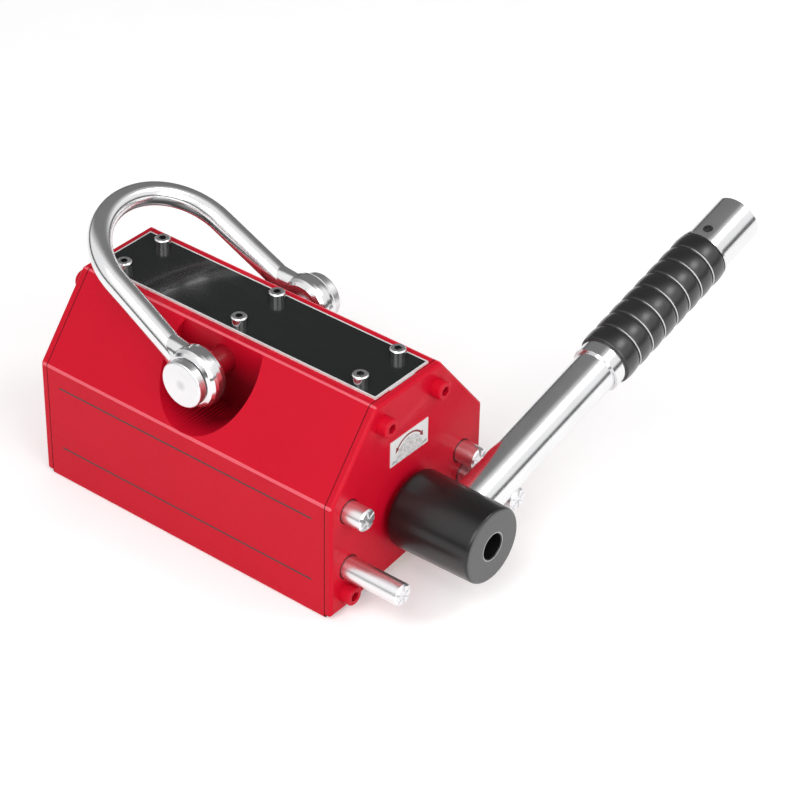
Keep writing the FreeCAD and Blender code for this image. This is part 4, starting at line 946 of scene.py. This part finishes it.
class MAGNET_OT_print_label(bpy.types.Operator):
    """Foil label with the position arrow, ON and OFF"""
    bl_idname = "magnet.print_label"
    bl_label = "Print position label"

    def execute(self, context):
        marks = context.scene.magnet_marks
        low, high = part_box("position_label")
        middle = (low.y + high.y) / 2
        half = (high.y - low.y) / 2
        wear(label_foil((middle, low.z + marks.arrow_centre), marks.disc_radius), "position_label")
        face = Matrix.Translation((high.x, middle, low.z)) @ Matrix(
            ((0, 0, 1, 0), (1, 0, 0, 0), (0, 1, 0, 0), (0, 0, 0, 1)))
        centre = (0.0, marks.arrow_centre)
        radius = marks.arrow_radius
        width = marks.arrow_width
        outlines = [
            arc_band(centre, radius - width / 2, radius + width / 2, marks.arrow_first, marks.arrow_last),
            arrow_head(centre, radius, marks.arrow_first, -1, marks.head_size, marks.head_size),
            arrow_head(centre, radius, marks.arrow_last, 1, marks.head_size, marks.head_size),
        ]
        piece("position_arrow", sheet("position_arrow", outlines, face, marks.thickness),
              ink("arrow_ink", marks.arrow_colour), "body")
        black = ink("letter_ink", LETTER_BLACK)
        for text, across in (("ON", marks.letter_inset - half), ("OFF", half - marks.letter_inset)):
            spot = face @ Matrix.Translation((across, marks.letter_height, marks.thickness / 2))
            mesh = word(f"word_{text}", text, marks.letter_size, spot, marks.thickness)
            piece(f"word_{text}", mesh, black, "body")
        return {"FINISHED"}


class MAGNET_OT_print_side(bpy.types.Operator):
    """Two thin black rules along one side of the body"""
    bl_idname = "magnet.print_side"
    bl_label = "Print side rules"

    def execute(self, context):
        marks = context.scene.magnet_marks
        low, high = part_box("pole_shoe_left")
        side = Matrix.Translation((0.0, low.y, 0.0)) @ Matrix(
            ((1, 0, 0, 0), (0, 0, -1, 0), (0, 1, 0, 0), (0, 0, 0, 1)))
        half = marks.rule_width / 2
        first, last = low.x + marks.rule_inset, high.x - marks.rule_inset
        outlines = [[(first, z - half), (last, z - half), (last, z + half), (first, z + half)]
                    for z in (marks.upper_rule, marks.lower_rule)]
        piece("side_rules", sheet("side_rules", outlines, side, marks.thickness),
              ink("rule_ink", marks.rule_colour), "body")
        return {"FINISHED"}


# --- Stage ----------------------------------------------------------------------------------------
FLOOR_DROP = 0.0002         # the floor lies this far under the feet
GREY_WAY = Vector((-0.50, 0.60, 0.62))      # where the dome is grey
GREY_RISE = (0.56, 0.78)    # how far a direction points that way where the grey begins and where it is full
FOOT_RISE = (0.28, 0.18)    # heights, in radii, where the dome's dark foot begins and where it is full
LAMP_TARGET = (0.02, 0.03, 0.05)


def studio_light(scene, ambient):
    """A white surround that lights the object less than it shows."""
    scene.world = bpy.data.worlds.new("studio")
    scene.world.use_nodes = True
    surround = Graph(scene.world.node_tree)
    colour = surround.blend(surround.seen_directly(), grey(ambient), grey(1.0))
    surround.tree.links.new(colour.socket, surround.tree.nodes["Background"].inputs["Color"])


def area_lamp(name, place, power, size):
    """A square lamp that shines on the magnet."""
    light = bpy.data.lights.new(name, "AREA")
    light.size = size
    light.energy = power
    lamp = bpy.data.objects.new(name, light)
    lamp.location = place
    lamp.rotation_euler = (Vector(LAMP_TARGET) - Vector(place)).to_track_quat("-Z", "Y").to_euler()
    bpy.context.scene.collection.objects.link(lamp)


def stage_object(name, mesh, material):
    """Put a mesh into the scene as part of the studio."""
    mesh.materials.append(material)
    made = bpy.data.objects.new(name, mesh)
    bpy.context.scene.collection.objects.link(made)
    return made


def paper_floor(stage):
    """Floor that looks white and keeps the object's shadow."""
    finish = Finish("floor_paper", Roughness=0.9, Specular_IOR_Level=0.0, Emission_Strength=1.0)
    finish.feed("Base Color", finish.blend(finish.noise(40.0), grey(0.90), grey(0.93)))
    along, across, _ = finish.spot()
    away = (along * along + across * across).rise(stage.pale_from ** 2, (3 * stage.pale_from) ** 2)
    glow = finish.blend(away, grey(stage.floor_glow), grey(stage.far_glow))
    finish.feed("Emission Color", finish.blend(finish.seen_directly(), grey(0.0), glow))
    reach = 4 * stage.dome_radius
    mesh = bpy.data.meshes.new("floor")
    corners = [(-reach, -reach, 0), (reach, -reach, 0), (reach, reach, 0), (-reach, reach, 0)]
    mesh.from_pydata(corners, [], [(0, 1, 2, 3)])
    stage_object("floor", mesh, finish.material).location.z = -FLOOR_DROP


def studio_dome(stage):
    """Dome that only reflections see: a dark foot, a grey side and white elsewhere."""
    finish = Finish("dome_cloth", Roughness=1.0, Specular_IOR_Level=0.0, Emission_Strength=1.0)
    finish.shader.inputs["Base Color"].default_value = grey(0.0)
    along, across, up = finish.spot()
    towards = (along * GREY_WAY.x + across * GREY_WAY.y + up * GREY_WAY.z) / stage.dome_radius
    cloth = finish.blend(towards.rise(*GREY_RISE), grey(stage.dome_white), grey(stage.dome_grey))
    foot = (up / stage.dome_radius).rise(*FOOT_RISE)
    finish.feed("Emission Color", finish.blend(foot, cloth, grey(stage.dome_foot)))
    shape = bmesh.new()
    bmesh.ops.create_uvsphere(shape, u_segments=64, v_segments=48, radius=stage.dome_radius)
    below = [vertex for vertex in shape.verts if vertex.co.z < -FLOOR_DROP]
    bmesh.ops.delete(shape, geom=below, context="VERTS")
    dome = stage_object("dome", mesh_from(shape, "dome"), finish.material)
    dome.visible_camera = False
    dome.visible_diffuse = False
    dome.visible_shadow = False


class MAGNET_OT_build_stage(bpy.types.Operator):
    """Pale floor, soft studio light and the camera"""
    bl_idname = "magnet.build_stage"
    bl_label = "Build stage"

    def execute(self, context):
        stage = context.scene.magnet_stage
        scene = context.scene
        scene.view_settings.view_transform = "Standard"
        studio_light(scene, stage.ambient)
        paper_floor(stage)
        studio_dome(stage)

        area_lamp("key_lamp", (0.25, -1.0, 1.05), stage.key_power, 0.9)
        area_lamp("fill_lamp", (1.2, -0.35, 0.7), stage.fill_power, 0.9)
        area_lamp("top_lamp", (0.8, 0.54, 1.23), stage.top_power, 0.45)

        sine, cosine = math.sin(stage.azimuth), math.cos(stage.azimuth)
        back = Vector((sine * math.cos(stage.elevation), -cosine * math.cos(stage.elevation),
                       math.sin(stage.elevation)))
        level_right = back.cross(Vector((0, 0, -1))).normalized()
        level_up = back.cross(level_right)
        right = level_right * math.cos(stage.roll) + level_up * math.sin(stage.roll)
        up = level_up * math.cos(stage.roll) - level_right * math.sin(stage.roll)
        lens = bpy.data.cameras.new("camera")
        lens.lens = stage.lens
        lens.clip_start = 0.01
        lens.clip_end = 50.0
        camera = bpy.data.objects.new("camera", lens)
        camera.matrix_world = Matrix((right, up, back)).transposed().to_4x4()
        camera.location = (back * stage.distance + right * stage.aside + up * stage.up
                           + Vector((0, 0, stage.target_height)))
        scene.collection.objects.link(camera)
        scene.camera = camera
        return {"FINISHED"}


OPERATORS = (
    MAGNET_OT_paint_body,
    MAGNET_OT_finish_plate,
    MAGNET_OT_finish_hub,
    MAGNET_OT_plate_bright_parts,
    MAGNET_OT_finish_inner_parts,
    MAGNET_OT_build_grip,
    MAGNET_OT_build_spring,
    MAGNET_OT_print_label,
    MAGNET_OT_print_side,
    MAGNET_OT_build_stage,
)


class MAGNET_PT_sidebar(bpy.types.Panel):
    """Settings and steps of the lifting magnet's finishes"""
    bl_idname = "MAGNET_PT_sidebar"
    bl_label = "Lifting magnet"
    bl_space_type = "VIEW_3D"
    bl_region_type = "UI"
    bl_category = "Lifting magnet"

    def draw(self, context):
        for name, group in GROUPS.items():
            box = self.layout.box()
            box.label(text=group.__name__)
            for setting in group.__annotations__:
                box.prop(getattr(context.scene, name), setting)
        for operator in OPERATORS:
            self.layout.operator(operator.bl_idname)


def register():
    for group in GROUPS.values():
        bpy.utils.register_class(group)
    for name, group in GROUPS.items():
        setattr(bpy.types.Scene, name, PointerProperty(type=group))
    for operator in OPERATORS:
        bpy.utils.register_class(operator)
    bpy.utils.register_class(MAGNET_PT_sidebar)


def unregister():
    bpy.utils.unregister_class(MAGNET_PT_sidebar)
    for operator in reversed(OPERATORS):
        bpy.utils.unregister_class(operator)
    for name in GROUPS:
        delattr(bpy.types.Scene, name)
    for group in reversed(list(GROUPS.values())):
        bpy.utils.unregister_class(group)


def main():
    register()
    for operator in OPERATORS:
        group, action = operator.bl_idname.split(".")
        getattr(getattr(bpy.ops, group), action)()


if __name__ == "__main__":
    main()
